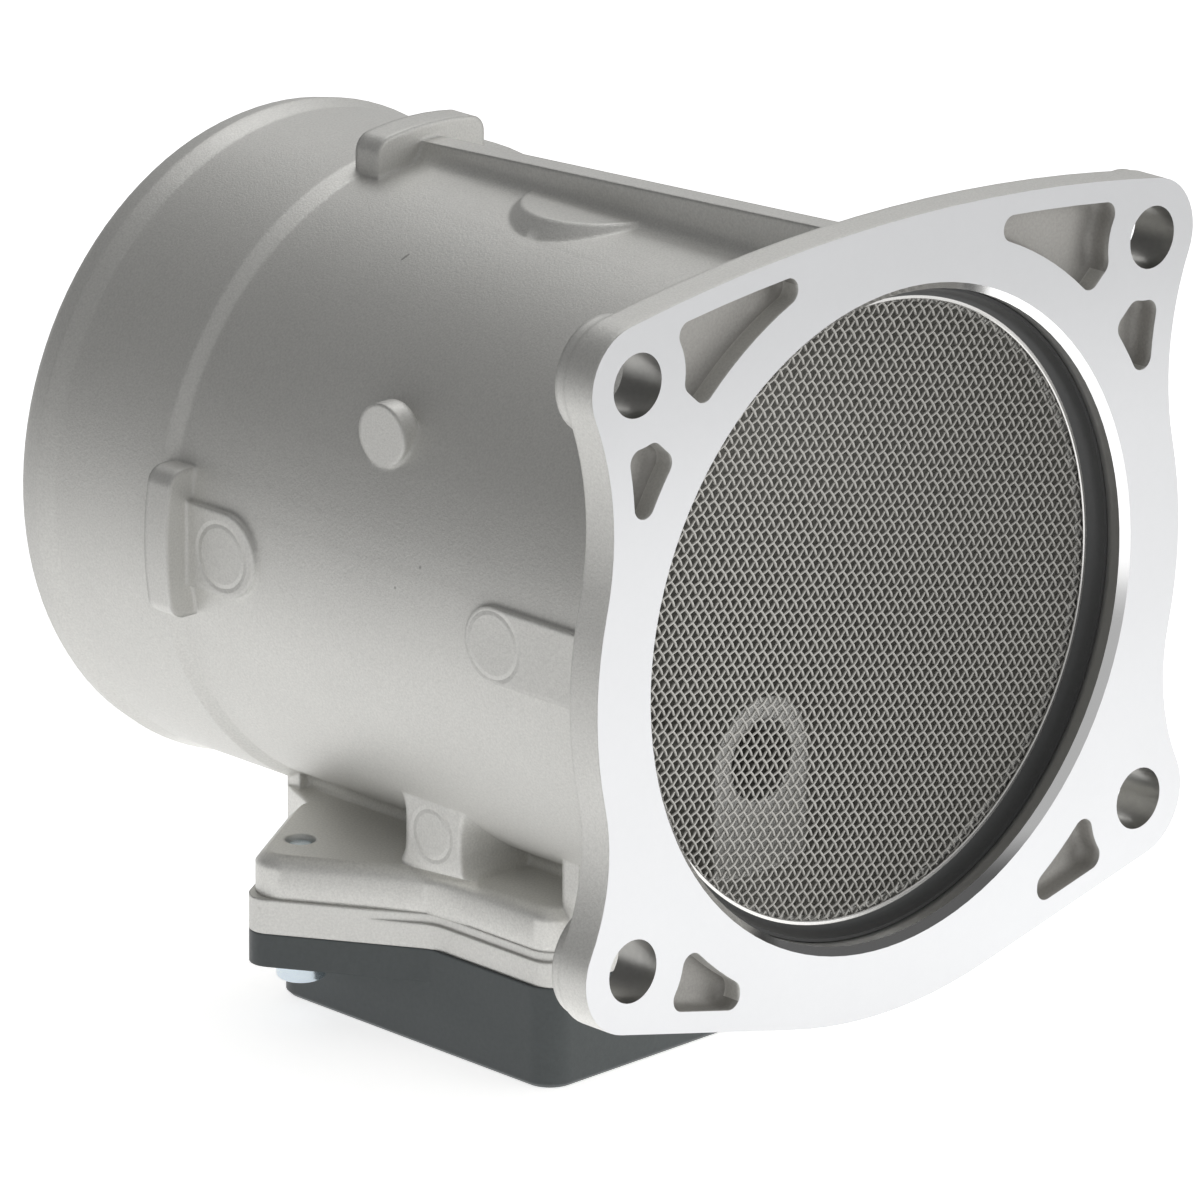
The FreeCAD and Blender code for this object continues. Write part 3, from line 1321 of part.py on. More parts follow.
failed = [item.Name for item in doc.Objects if {"Invalid", "Error"} & set(item.State)]
if failed:
    raise RuntimeError("failed objects: " + ", ".join(failed))
for node in nodes:
    if node.Shape.isNull() or not node.Shape.isValid():
        raise RuntimeError("bad shape: " + node.Label)
os.makedirs("parts", exist_ok=True)
for node in nodes:
    node.Shape.exportStep("parts/%s.step" % node.Label)
    print(node.Label, len(node.Shape.Solids), "solid, volume", round(node.Shape.Volume, 1))
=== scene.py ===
import math

import bmesh
import bpy
from mathutils import Matrix, Vector


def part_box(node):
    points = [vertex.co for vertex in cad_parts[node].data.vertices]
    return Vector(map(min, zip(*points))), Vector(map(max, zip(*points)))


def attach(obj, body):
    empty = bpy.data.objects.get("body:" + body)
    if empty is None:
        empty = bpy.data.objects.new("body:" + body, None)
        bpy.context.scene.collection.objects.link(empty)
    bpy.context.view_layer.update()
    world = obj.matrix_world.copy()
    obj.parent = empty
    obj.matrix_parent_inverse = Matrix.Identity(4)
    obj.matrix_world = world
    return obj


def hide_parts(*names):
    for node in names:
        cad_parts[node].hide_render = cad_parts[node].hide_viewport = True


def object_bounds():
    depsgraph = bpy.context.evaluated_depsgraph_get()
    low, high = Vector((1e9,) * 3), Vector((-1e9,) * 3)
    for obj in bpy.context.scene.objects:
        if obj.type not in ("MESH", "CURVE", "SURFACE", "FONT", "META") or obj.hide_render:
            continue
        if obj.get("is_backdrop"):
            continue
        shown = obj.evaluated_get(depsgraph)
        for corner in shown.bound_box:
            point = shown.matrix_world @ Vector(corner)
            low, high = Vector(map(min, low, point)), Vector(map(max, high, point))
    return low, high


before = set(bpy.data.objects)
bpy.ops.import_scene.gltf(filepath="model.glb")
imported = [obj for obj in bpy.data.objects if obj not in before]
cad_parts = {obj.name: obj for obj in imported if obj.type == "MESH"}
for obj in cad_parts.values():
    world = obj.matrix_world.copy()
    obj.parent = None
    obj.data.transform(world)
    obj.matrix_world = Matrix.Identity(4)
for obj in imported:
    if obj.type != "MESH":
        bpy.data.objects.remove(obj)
cad_low, cad_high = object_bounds()

# Metering tube: one aluminium die casting with its flange, rib, lugs, pads and
# pedestal. It is blasted to an even matt grey, then faced off at the flange and
# turned in the mouth of the bore, where the cut metal stays bright.
MM = 0.001
hair = 0.001 * MM
weld_reach = 0.002 * MM


def finish_piece(form, name):
    """Turns a finished bmesh into a piece that rides on the meter's body."""
    mesh = bpy.data.meshes.new(name)
    form.to_mesh(mesh)
    form.free()
    piece = bpy.data.objects.new(name, mesh)
    bpy.context.scene.collection.objects.link(piece)
    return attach(piece, "root")


def only(parts, kind):
    """Those parts of an operator's result that are of one kind."""
    return [part for part in parts if isinstance(part, kind)]


def smooth_below(edge, degrees):
    """Shades an edge smooth if its faces meet at less than an angle."""
    edge.smooth = edge.is_manifold and edge.calc_face_angle(0) < math.radians(degrees)


def smooth_but_edges(form):
    """Shades a form smooth and leaves its real edges crisp."""
    for face in form.faces:
        face.smooth = True
    for edge in form.edges:
        smooth_below(edge, degrees=28)


def welded(node):
    """The loose triangles of a CAD node, joined into one closed form."""
    form = bmesh.new()
    form.from_mesh(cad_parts[node].data)
    bmesh.ops.remove_doubles(form, verts=form.verts, dist=weld_reach)
    bmesh.ops.dissolve_limit(
        form, angle_limit=math.radians(0.3), verts=form.verts, edges=form.edges
    )
    smooth_but_edges(form)
    return form


def shader_group(name, inputs, outputs):
    """An empty node group with float sockets, and its two end nodes."""
    group = bpy.data.node_groups.new(name, "ShaderNodeTree")
    for label, value in inputs.items():
        socket = group.interface.new_socket(
            label, in_out="INPUT", socket_type="NodeSocketFloat"
        )
        socket.default_value = value
    for label in outputs:
        group.interface.new_socket(
            label, in_out="OUTPUT", socket_type="NodeSocketFloat"
        )
    start = group.nodes.new("NodeGroupInput")
    end = group.nodes.new("NodeGroupOutput")
    return group, start, end


def wire(tree, source, target):
    """Links one node's socket to another's."""
    tree.links.new(source, target)


def object_place(tree):
    """Where a shaded point lies in the object's own space."""
    return tree.nodes.new("ShaderNodeTexCoord").outputs["Object"]


def sums(tree, operation, *values):
    """A Math node fed with sockets or plain numbers."""
    node = tree.nodes.new("ShaderNodeMath")
    node.operation = operation
    for slot, value in enumerate(values):
        if isinstance(value, (int, float)):
            node.inputs[slot].default_value = value
        else:
            wire(tree, value, node.inputs[slot])
    return node.outputs[0]


def distance(tree, place, point):
    """How far a shaded point lies from a point in millimetres."""
    node = tree.nodes.new("ShaderNodeVectorMath")
    node.operation = "DISTANCE"
    wire(tree, place, node.inputs[0])
    node.inputs[1].default_value = Vector(point) * MM
    return node.outputs["Value"]


def change(tree, value, start, end, first, last):
    """Goes softly from one number to another while a value goes from start to end."""
    node = tree.nodes.new("ShaderNodeMapRange")
    node.interpolation_type = "SMOOTHSTEP"
    node.inputs["From Min"].default_value = start
    node.inputs["From Max"].default_value = end
    node.inputs["To Min"].default_value = first
    node.inputs["To Max"].default_value = last
    wire(tree, value, node.inputs["Value"])
    return node.outputs["Result"]


def multiply_colour(tree, shader, value):
    """Multiplies a shader's base colour by a value that varies over the surface."""
    colour = shader.inputs["Base Color"]
    node = tree.nodes.new("ShaderNodeMix")
    node.data_type = "RGBA"
    node.blend_type = "MULTIPLY"
    node.inputs["Factor"].default_value = 1.0
    if colour.is_linked:
        wire(tree, colour.links[0].from_socket, node.inputs["A"])
    else:
        node.inputs["A"].default_value = colour.default_value
    wire(tree, value, node.inputs["B"])
    wire(tree, node.outputs["Result"], colour)


def noise(tree, place, scale, detail, roughness):
    """Soft noise between 0 and 1, with a number or a socket for its scale."""
    node = tree.nodes.new("ShaderNodeTexNoise")
    node.inputs["Detail"].default_value = detail
    node.inputs["Roughness"].default_value = roughness
    wire(tree, place, node.inputs["Vector"])
    if isinstance(scale, (int, float)):
        node.inputs["Scale"].default_value = scale
    else:
        wire(tree, scale, node.inputs["Scale"])
    return node.outputs["Fac"]


grain, ends_in, ends_out = shader_group(
    "surface_grain",
    {"Grain Scale": 2400.0, "Fleck": 0.2, "Patch": 0.1},
    ("Shade", "Relief"),
)
place = object_place(grain)
fine = noise(grain, place, ends_in.outputs["Grain Scale"], detail=3.0, roughness=0.65)
patch = noise(grain, place, scale=42.0, detail=3.0, roughness=0.6)
fleck_part = sums(
    grain, "MULTIPLY", sums(grain, "SUBTRACT", fine, 0.5), ends_in.outputs["Fleck"]
)
patch_part = sums(
    grain, "MULTIPLY", sums(grain, "SUBTRACT", patch, 0.5), ends_in.outputs["Patch"]
)
shade = sums(grain, "ADD", sums(grain, "ADD", fleck_part, patch_part), 1.0)
wire(grain, shade, ends_out.inputs["Shade"])
wire(grain, fine, ends_out.inputs["Relief"])


def new_material(name, colour, roughness, metallic=0.0):
    """A Principled material with its plain values set on the shader itself."""
    material = bpy.data.materials.new(name)
    material.use_nodes = True
    shader = material.node_tree.nodes["Principled BSDF"]
    shader.inputs["Base Color"].default_value = (*colour, 1.0)
    shader.inputs["Roughness"].default_value = roughness
    shader.inputs["Metallic"].default_value = metallic
    return material, material.node_tree, shader


def add_grain(tree, shader, scale, fleck, patch, depth):
    """Gives a material its flecks, soft patches and fine relief."""
    node = tree.nodes.new("ShaderNodeGroup")
    node.node_tree = grain
    node.inputs["Grain Scale"].default_value = scale
    node.inputs["Fleck"].default_value = fleck
    node.inputs["Patch"].default_value = patch
    multiply_colour(tree, shader, node.outputs["Shade"])
    bump = tree.nodes.new("ShaderNodeBump")
    bump.inputs["Distance"].default_value = depth
    wire(tree, node.outputs["Relief"], bump.inputs["Height"])
    wire(tree, bump.outputs["Normal"], shader.inputs["Normal"])
    return bump


def along(tree, axis):
    """Where a shaded point lies along one axis of the object."""
    split = tree.nodes.new("ShaderNodeSeparateXYZ")
    wire(tree, object_place(tree), split.inputs[0])
    return split.outputs[axis]


def paint_light_and_shade(tree, shader, axis, start, end, first, last):
    """Paints light and shade into a colour: changes its strength between two places, in
    millimetres, on an axis.
    """
    value = change(tree, along(tree, axis), start * MM, end * MM, first, last)
    multiply_colour(tree, shader, value)


def soften_corners(tree, bump, radius):
    """Rounds the shading of a surface's outer and inner corners."""
    corner = tree.nodes.new("ShaderNodeBevel")
    corner.samples = 6
    corner.inputs["Radius"].default_value = radius
    wire(tree, corner.outputs["Normal"], bump.inputs["Normal"])
    return corner


def pin_mark(tree, centre, radius):
    """Height of the faint ring that an ejector pin leaves round a point."""
    ring_width = 0.55 * MM
    from_centre = distance(tree, object_place(tree), centre)
    off_ring = sums(tree, "ABSOLUTE", sums(tree, "SUBTRACT", from_centre, radius * MM))
    return sums(tree, "SUBTRACT", 1.0, sums(tree, "DIVIDE", off_ring, ring_width))


def nick(tree, first, last, spread):
    """Mask of a small mark that lies between two points of the surface."""
    place = object_place(tree)
    reach = [distance(tree, place, point) for point in (first, last)]
    length = (Vector(first) - Vector(last)).length * MM
    detour = sums(tree, "SUBTRACT", sums(tree, "ADD", *reach), length)
    mask = sums(tree, "SUBTRACT", 1.0, sums(tree, "DIVIDE", detour, spread * MM))
    return sums(tree, "MAXIMUM", mask, 0.0)


cast_skin, tree, shader = new_material(
    "cast_skin", (0.66, 0.655, 0.63), roughness=0.50, metallic=0.62
)
bump = add_grain(tree, shader, scale=3200.0, fleck=0.45, patch=0.10, depth=0.00004)

# Three pins left a faint ring each, by its centre and radius, and the wear is one
# scratch and two dark specks, each by its two ends and its width.
ring_height = 0.0
for centre, radius in (
    ((-43.4, 78.5, -0.3), 4.3),
    ((-43.6, 28.3, 0.0), 4.5),
    ((-30.5, 52.9, -34.9), 3.4),
):
    ring_height = sums(tree, "MAXIMUM", ring_height, pin_mark(tree, centre, radius))
ring_bump = tree.nodes.new("ShaderNodeBump")
ring_bump.invert = True
ring_bump.inputs["Distance"].default_value = 0.00009
wire(tree, ring_height, ring_bump.inputs["Height"])
wire(tree, ring_bump.outputs["Normal"], bump.inputs["Normal"])
soften_corners(tree, ring_bump, 0.9 * MM)
marks = 0.0
for first, last, spread in (
    ((-21.67, 67.96, 37.25), (-20.44, 67.67, 37.93), 0.09),
    ((-42.58, 42.48, 6.58), (-42.58, 42.48, 6.68), 0.5),
    ((-42.99, 46.62, 3.01), (-42.99, 46.62, 3.11), 0.4),
):
    marks = sums(tree, "MAXIMUM", marks, nick(tree, first, last, spread))
worn = tree.nodes.new("ShaderNodeMix")
worn.data_type = "RGBA"
wire(tree, sums(tree, "MULTIPLY", marks, 0.6), worn.inputs["Factor"])
wire(tree, shader.inputs["Base Color"].links[0].from_socket, worn.inputs["A"])
worn.inputs["B"].default_value = (0.10, 0.095, 0.09, 1.0)
wire(tree, worn.outputs["Result"], shader.inputs["Base Color"])
# Painted light: the cast skin is made up to a fifth lighter low down, below 36.5 mm under
# the axis.
paint_light_and_shade(tree, shader, "Z", start=-41.0, end=-36.5, first=1.2, last=1.0)

faced_metal, tree, shader = new_material(
    "faced_metal", (0.73, 0.735, 0.745), roughness=0.32, metallic=0.85
)
add_grain(tree, shader, scale=700.0, fleck=0.03, patch=0.05, depth=0.000004)
# Painted shade: the faced front is made darker towards its top, 13 per cent darker at 48
# mm above the axis.
paint_light_and_shade(tree, shader, "Z", start=15.0, end=48.0, first=1.0, last=0.87)
cut_chamfer, tree, shader = new_material(
    "cut_chamfer", (0.93, 0.93, 0.93), roughness=0.12, metallic=1.0
)
add_grain(tree, shader, scale=500.0, fleck=0.03, patch=0.02, depth=0.000002)
# Painted reflection: the bright cut chamfer is made dark grey low down, to a quarter of
# its lightness below 39.5 mm under the axis.
paint_light_and_shade(tree, shader, "Z", start=-39.5, end=-34.0, first=0.25, last=1.0)
# Painted shade: the turned mouth is bright cut metal, coloured dark grey here for the
# shade in the recess.
shaded_turned_bore, tree, shader = new_material(
    "shaded_turned_bore", (0.42, 0.42, 0.41), roughness=0.35, metallic=0.9
)
add_grain(tree, shader, scale=900.0, fleck=0.12, patch=0.10, depth=0.00001)
# Painted shade: the bore behind the screen is the cast skin made about half as light.
shaded_bore_wall, tree, shader = new_material(
    "shaded_bore_wall", (0.34, 0.335, 0.31), roughness=0.6, metallic=0.5
)
add_grain(tree, shader, scale=1800.0, fleck=0.3, patch=0.10, depth=0.00004)
# Painted shade: the pocket floors are the cast skin made darker, for the shade in the
# pockets.
shaded_pocket_floor, tree, shader = new_material(
    "shaded_pocket_floor", (0.40, 0.39, 0.37), roughness=0.55, metallic=0.55
)
bump = add_grain(tree, shader, scale=2600.0, fleck=0.4, patch=0.10, depth=0.00004)
soften_corners(tree, bump, 2.0 * MM)
# The drilled holes are smooth cut metal; their dark grey is painted shade inside the
# holes.
drilled_and_shaded_hole, tree, shader = new_material(
    "drilled_and_shaded_hole", (0.36, 0.355, 0.34), roughness=0.34, metallic=0.9
)
add_grain(tree, shader, scale=900.0, fleck=0.3, patch=0.4, depth=0.00002)

form = welded("meter_body")

# The bead at the outlet's end rises in one short step and falls away again. Each
# circle of the solid's long cone, named by its place on the axis, gets a new
# radius and place.
outlet_start, tube_inside = 95 * MM, 43 * MM
bead_circles = {
    102.1: (44.1, 109.9),
    105.77: (44.33, 110.9),
    109.43: (44.57, 111.9),
    113.1: (44.8, 113.1),
    115.6: (44.35, 115.6),
}
for vert in form.verts:
    outwards = math.hypot(vert.co.x, vert.co.z)
    if vert.co.y > outlet_start and outwards > tube_inside:
        for circle, (radius, place) in bead_circles.items():
            if abs(circle * MM - vert.co.y) < 0.05 * MM:
                vert.co.x *= radius * MM / outwards
                vert.co.z *= radius * MM / outwards
                vert.co.y = place * MM
                break

# The left post is hollowed a little between tube and pedestal, and its foot ends
# just above the pedestal's rounded edge, which runs on below it.
post_face, post_front, post_back = -30.5 * MM, 46.8 * MM, 58.5 * MM
post_root, post_top, post_foot = -15 * MM, -30.5 * MM, -40.2 * MM
edge_foot, edge_foot_side, edge_top_side = -41.9 * MM, -29.8 * MM, -28.1 * MM
levels = (-30.9, -31.5, -32.4, -33.6, -35.2, -36.8, -38.0, -38.8, -39.5, -40.3, -42.0)
hollow_depth, hollow_bottom, hollow_height = 0.9 * MM, -39.5 * MM, 9.05 * MM
touch = 0.02 * MM
post_parts = {}
for face in form.faces:
    middle = face.calc_center_median()
    to_side = min(abs(middle.y - post_front), abs(middle.y - post_back))
    flat_front = face.normal.x < -0.999 and abs(middle.x - post_face) < touch
    flat_side = abs(face.normal.y) > 0.999 and to_side < touch
    on_post = post_face - 0.5 * MM < middle.x < post_root and middle.z < post_top
    if flat_front or (flat_side and on_post):
        post_parts.update(dict.fromkeys((face, *face.edges, *face.verts)))
parts = list(post_parts)
for level in levels:
    parts = bmesh.ops.bisect_plane(
        form,
        geom=parts,
        dist=weld_reach,
        plane_co=(0, 0, level * MM),
        plane_no=(0, 0, 1),
    )["geom"]
bmesh.ops.triangulate(form, faces=only(parts, bmesh.types.BMFace))
for vert in form.verts:
    on_front = abs(vert.co.y - post_front) < touch
    on_back = abs(vert.co.y - post_back) < touch
    if abs(vert.co.x - post_face) > touch or not (on_front or on_back):
        continue
    if vert.co.z < edge_foot:
        if on_front:
            vert.co.x = edge_foot_side
    elif vert.co.z < post_foot:
        if on_front:
            vert.co.x = edge_top_side
    elif vert.co.z < post_top:
        height = (vert.co.z - hollow_bottom) / hollow_height
        hollow = hollow_depth * (1 - (2 * height - 1) ** 4)
        vert.co.y += hollow if on_front else -hollow
bmesh.ops.remove_doubles(form, verts=form.verts, dist=weld_reach)
bmesh.ops.dissolve_degenerate(form, dist=hair, edges=form.edges)

# A low wall closes the deep corner between the tube and the pedestal on each side.
wall_size = Vector((1.2, 59, 2.4)) * MM
for side in (-1, 1):
    wall = bmesh.ops.create_cube(form, size=1.0)["verts"]
    bmesh.ops.scale(form, verts=wall, vec=wall_size)
    wall_place = Vector((side * 18.2, 60.5, -39.8)) * MM
    bmesh.ops.translate(form, verts=wall, vec=wall_place)

# The pedestal's rounded edge and the flange's fillet are shaded rounder than the
# rest, and the turned steps of the outlet's end crisper.
flange_back, fillet_end, outlet_turned = 5.4 * MM, 9.1 * MM, 86 * MM
tube_outside = 42.9 * MM
pedestal_start, edge_bottom, edge_top = 20 * MM, -42.05 * MM, -40.25 * MM
smooth_but_edges(form)
for face in form.faces:
    middle = face.calc_center_median()
    in_edge = middle.y > pedestal_start and edge_bottom < middle.z < edge_top
    if in_edge and 0.6 < face.normal.z < 0.8:
        for edge in face.edges:
            smooth_below(edge, degrees=60)
for edge in form.edges:
    first, second = (vert.co for vert in edge.verts)
    inner = min(math.hypot(first.x, first.z), math.hypot(second.x, second.z))
    turned = abs(first.y - second.y) < 0.01 * MM and first.y > outlet_turned
    if turned and inner > tube_outside and edge.is_manifold:
        smooth_below(edge, degrees=2)
    elif flange_back < min(first.y, second.y) and max(first.y, second.y) < fillet_end:
        smooth_below(edge, degrees=40)

# Each face gets the material of its place and of the way it faces, from -1 for the front
# to 1 for the back: faced front, cut chamfer, turned mouth, bore, pocket or drilled hole.
# The turned mouth, the bore, the pockets and the drilled holes carry painted shade. All
# the rest keeps the cast skin.
finishes_and_shades = (
    cast_skin,
    faced_metal,
    cut_chamfer,
    shaded_turned_bore,
    shaded_bore_wall,
    shaded_pocket_floor,
    drilled_and_shaded_hole,
)
faced, chamfer, mouth, bore, pocket, drilled = range(1, 7)
mouth_radius, mouth_depth = 42.9 * MM, 6.25 * MM
chamfer_radius, chamfer_depth = 44 * MM, 1.0 * MM
bore_radius = 40.1 * MM
pocket_start, pocket_depth = 43.9 * MM, 3.45 * MM
hole_radius = 4.3 * MM
hole_places = [Vector((46.5, height)) * MM for height in (41.1, -35.2)]
for face in form.faces:
    middle = face.calc_center_median()
    facing = face.normal.y
    across = math.hypot(middle.x, middle.z)
    towards_axis = face.normal.x * middle.x + face.normal.z * middle.z < 0
    inwards = towards_axis and abs(facing) < 0.9
    to_hole = min(
        (Vector((abs(middle.x), middle.z)) - place).length for place in hole_places
    )
    if facing < -0.99 and middle.y < 0.05 * MM:
        face.material_index = faced
    elif -0.9 < facing < -0.4 and middle.y < chamfer_depth and across < chamfer_radius:
        face.material_index = chamfer
    elif inwards and across < mouth_radius and middle.y < mouth_depth:
        face.material_index = mouth
    elif inwards and across < bore_radius:
        face.material_index = bore
    elif across > pocket_start and abs(facing) < 0.1 and to_hole < hole_radius:
        face.material_index = drilled
    elif across > pocket_start and middle.y < pocket_depth:
        if facing <= -0.1 or (facing < 0.1 and inwards):
            face.material_index = pocket
casting = finish_piece(form, "metering_tube")
for material in finishes_and_shades:
    casting.data.materials.append(material)
even = casting.modifiers.new("even_shading", "WEIGHTED_NORMAL")
even.keep_sharp = True
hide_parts("meter_body")

# Inlet screen: a round of plain woven stainless cloth, 1.23 mm from wire to wire.
# Each wire is crimped over one crossing and under the next. It lies in the bore's
# recess, turned about a third of a right angle, and its cut ends are under the rim.
pitch = 1.228 * MM
wire_radius = 0.185 * MM
crimp = 0.12 * MM
cloth_middle = 5.8 * MM
cloth_radius = 41.7 * MM
cloth_turn = math.radians(31.4)
steps_per_pitch = 4
half_count = int(cloth_radius / pitch) + 2


def crimped_strand():
    """One long crimped wire along X, waving up and down in Z."""
    strand = bmesh.new()
    ring = bmesh.ops.create_circle(strand, segments=6, radius=wire_radius)["verts"]
    turn = Matrix.Rotation(math.radians(90), 3, "Y")
    bmesh.ops.rotate(strand, verts=ring, matrix=turn)
    start = Vector((-half_count * pitch, 0, crimp * (-1) ** half_count))
    bmesh.ops.translate(strand, verts=ring, vec=start)
    edges = strand.edges[:]
    height = start.z
    for step in range(1, 2 * half_count * steps_per_pitch + 1):
        place = step / steps_per_pitch - half_count
        next_height = crimp * math.cos(math.pi * place)
        made = bmesh.ops.extrude_edge_only(strand, edges=edges)["geom"]
        verts = only(made, bmesh.types.BMVert)
        edges = only(made, bmesh.types.BMEdge)
        lift = Vector((pitch / steps_per_pitch, 0, next_height - height))
        bmesh.ops.translate(strand, verts=verts, vec=lift)
        height = next_height
    return strand


def weave_set(name, turn, start_phase):
    """All wires that run one way, cut to the round and laid into the recess."""
    strand = crimped_strand()
    single = strand.verts[:] + strand.edges[:] + strand.faces[:]
    for number in range(-half_count, half_count + 1):
        made = bmesh.ops.duplicate(strand, geom=single)["geom"]
        verts = only(made, bmesh.types.BMVert)
        phase = (number + start_phase) % 2
        shift = (phase * pitch, number * pitch, 0)
        bmesh.ops.translate(strand, verts=verts, vec=shift)
    spare = only(single, bmesh.types.BMVert)
    bmesh.ops.delete(strand, geom=spare, context="VERTS")
    outside = [v for v in strand.verts if math.hypot(v.co.x, v.co.y) > cloth_radius]
    bmesh.ops.delete(strand, geom=outside, context="VERTS")
    bmesh.ops.holes_fill(strand, edges=[e for e in strand.edges if e.is_boundary])
    upright = Matrix.Rotation(math.radians(90), 3, "X")
    bmesh.ops.rotate(strand, verts=strand.verts, matrix=Matrix.Rotation(turn, 3, "Z"))
    bmesh.ops.rotate(strand, verts=strand.verts, matrix=upright)
    bmesh.ops.translate(strand, verts=strand.verts, vec=(0, cloth_middle, 0))
    bmesh.ops.recalc_face_normals(strand, faces=strand.faces)
    for face in strand.faces:
        face.smooth = True
    piece = finish_piece(strand, name)
    piece.data.materials.append(screen_wire)
    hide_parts("inlet_screen")


screen_wire, tree, shader = new_material(
    "screen_wire", (0.45, 0.44, 0.415), roughness=0.58, metallic=0.45
)
add_grain(tree, shader, scale=1500.0, fleck=0.25, patch=0.10, depth=0.00001)
# Painted sheen: the wires are made up to a quarter lighter on the left of the screen and
# up to 15 per cent darker on the right.
paint_light_and_shade(tree, shader, "X", start=-38.0, end=38.0, first=1.25, last=0.85)
weave_set("screen_warp", cloth_turn, 0)
weave_set("screen_weft", cloth_turn + math.radians(90), 1)

# Screen rim and retaining ring: the cloth's edge is rolled into a pale steel
# band, and a black ring with a hollow inner face is pressed in before it and
# keeps it against the recess's shoulder.
ring_steps = 256


def spun_ring(name, profile):
    """A ring turned about the bore's axis from (radius, y) points in millimetres."""
    form = bmesh.new()
    verts = [form.verts.new((radius * MM, y * MM, 0)) for radius, y in profile]
    edges = [
        form.edges.new((verts[index - 1], verts[index])) for index in range(len(verts))
    ]
    bmesh.ops.spin(
        form,
        geom=verts + edges,
        cent=(0, 0, 0),
        axis=(0, 1, 0),
        angle=2 * math.pi,
        steps=ring_steps,
        use_merge=True,
    )
    bmesh.ops.remove_doubles(form, verts=form.verts, dist=hair)
    bmesh.ops.recalc_face_normals(form, faces=form.faces)
    smooth_but_edges(form)
    return finish_piece(form, name)


rim = spun_ring(
    "screen_edge_band",
    [(40.5, 5.25), (40.62, 5.12), (42.6, 5.12), (42.6, 5.40), (40.5, 5.40)],
)
rim_steel, tree, shader = new_material(
    "rim_steel", (0.80, 0.79, 0.77), roughness=0.22, metallic=1.0
)
add_grain(tree, shader, scale=900.0, fleck=0.10, patch=0.08, depth=0.000006)
rim.data.materials.append(rim_steel)
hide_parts("screen_rim")

ring = spun_ring(
    "retaining_ring",
    [
        (42.25, 3.1),
        (42.70, 3.1),
        (42.70, 5.1),
        (41.0, 5.1),
        (41.36, 4.86),
        (41.64, 4.56),
        (41.84, 4.24),
        (42.05, 3.72),
    ],
)
ring_black, tree, shader = new_material(
    "ring_black", (0.035, 0.036, 0.036), roughness=0.42
)
add_grain(tree, shader, scale=1500.0, fleck=0.3, patch=0.2, depth=0.00002)
ring.data.materials.append(ring_black)
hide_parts("screen_retaining_ring")

# Base plate: a flat aluminium casting, tumbled so that its edges are soft, with
# a fine step at its top that runs out on the left ear. It carries the electronics
# and is clamped under the tube's pedestal.
form = welded("module_base_plate")

# The step ends 7.4 mm past the bend where the outline turns into the left ear.
top, ledge = -46.0 * MM, -47.3 * MM
bend = Vector((-31.095, 54.115, 0)) * MM
along_ear = Vector((-0.5257, 0.8507, 0))
step_end = bend + along_ear * 7.4 * MM
ear_start = -30 * MM
bmesh.ops.bisect_plane(
    form,
    geom=form.verts[:] + form.edges[:] + form.faces[:],
    dist=weld_reach,
    plane_co=step_end,
    plane_no=along_ear,
)
flat = [face for face in form.faces if abs(face.calc_center_median().z - ledge) < hair]
bmesh.ops.triangulate(form, faces=flat)


def outline_at(height):
    """Corners of the plate at a height, by their place across."""
    return {
        (round(vert.co.x, 6), round(vert.co.y, 6)): vert
        for vert in form.verts
        if abs(vert.co.z - height) < hair
    }


upper, lower = outline_at(top), outline_at(ledge)
outer = [vert.co.copy() for place, vert in lower.items() if place not in upper]
for place, vert in lower.items():
    past_step = (vert.co - step_end).dot(along_ear) > -hair and vert.co.x < ear_start
    if place in upper and past_step:
        nearest = min(outer, key=lambda corner: (corner - vert.co).length)
        upper[place].co.xy = nearest.xy
        vert.co.xy = nearest.xy
bmesh.ops.remove_doubles(form, verts=form.verts, dist=weld_reach)
bmesh.ops.dissolve_degenerate(form, dist=hair, edges=form.edges)
smooth_but_edges(form)
plate = finish_piece(form, "base_plate")
plate_skin, tree, shader = new_material(
    "plate_skin", (0.68, 0.675, 0.65), roughness=0.46, metallic=0.62
)
bump = add_grain(tree, shader, scale=3200.0, fleck=0.4, patch=0.10, depth=0.00004)
soften_corners(tree, bump, 0.5 * MM)
plate.data.materials.append(plate_skin)
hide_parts("module_base_plate")

# Seals: two moulded rubber rings, one in the plate's groove and one on the probe
# stem, that keep the metered air from leaking past the module.
seal_black, tree, shader = new_material("seal_black", (0.02, 0.02, 0.02), roughness=0.6)
add_grain(tree, shader, scale=1800.0, fleck=0.3, patch=0.2, depth=0.00002)
for node in ("module_seal", "probe_seal"):
    seal = finish_piece(welded(node), node + "_ring")
    seal.data.materials.append(seal_black)
    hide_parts(node)

# Sensing probe: a glass-filled plastic stem that reaches up into the sampling
# nozzle. Four steel posts moulded into it hold two wound ceramic elements in
# the air, one heated and one that reads the air's own temperature.
probe_black, tree, shader = new_material(
    "probe_black", (0.05, 0.05, 0.055), roughness=0.5
)
add_grain(tree, shader, scale=1800.0, fleck=0.4, patch=0.2, depth=0.00002)
probe = finish_piece(welded("probe_body"), "probe_stem")
probe.data.materials.append(probe_black)
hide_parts("probe_body")

post_metal, tree, shader = new_material(
    "post_metal", (0.62, 0.61, 0.58), roughness=0.3, metallic=1.0
)
add_grain(tree, shader, scale=2500.0, fleck=0.2, patch=0.1, depth=0.00001)
posts = finish_piece(welded("element_posts"), "probe_posts")
posts.data.materials.append(post_metal)
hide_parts("element_posts")

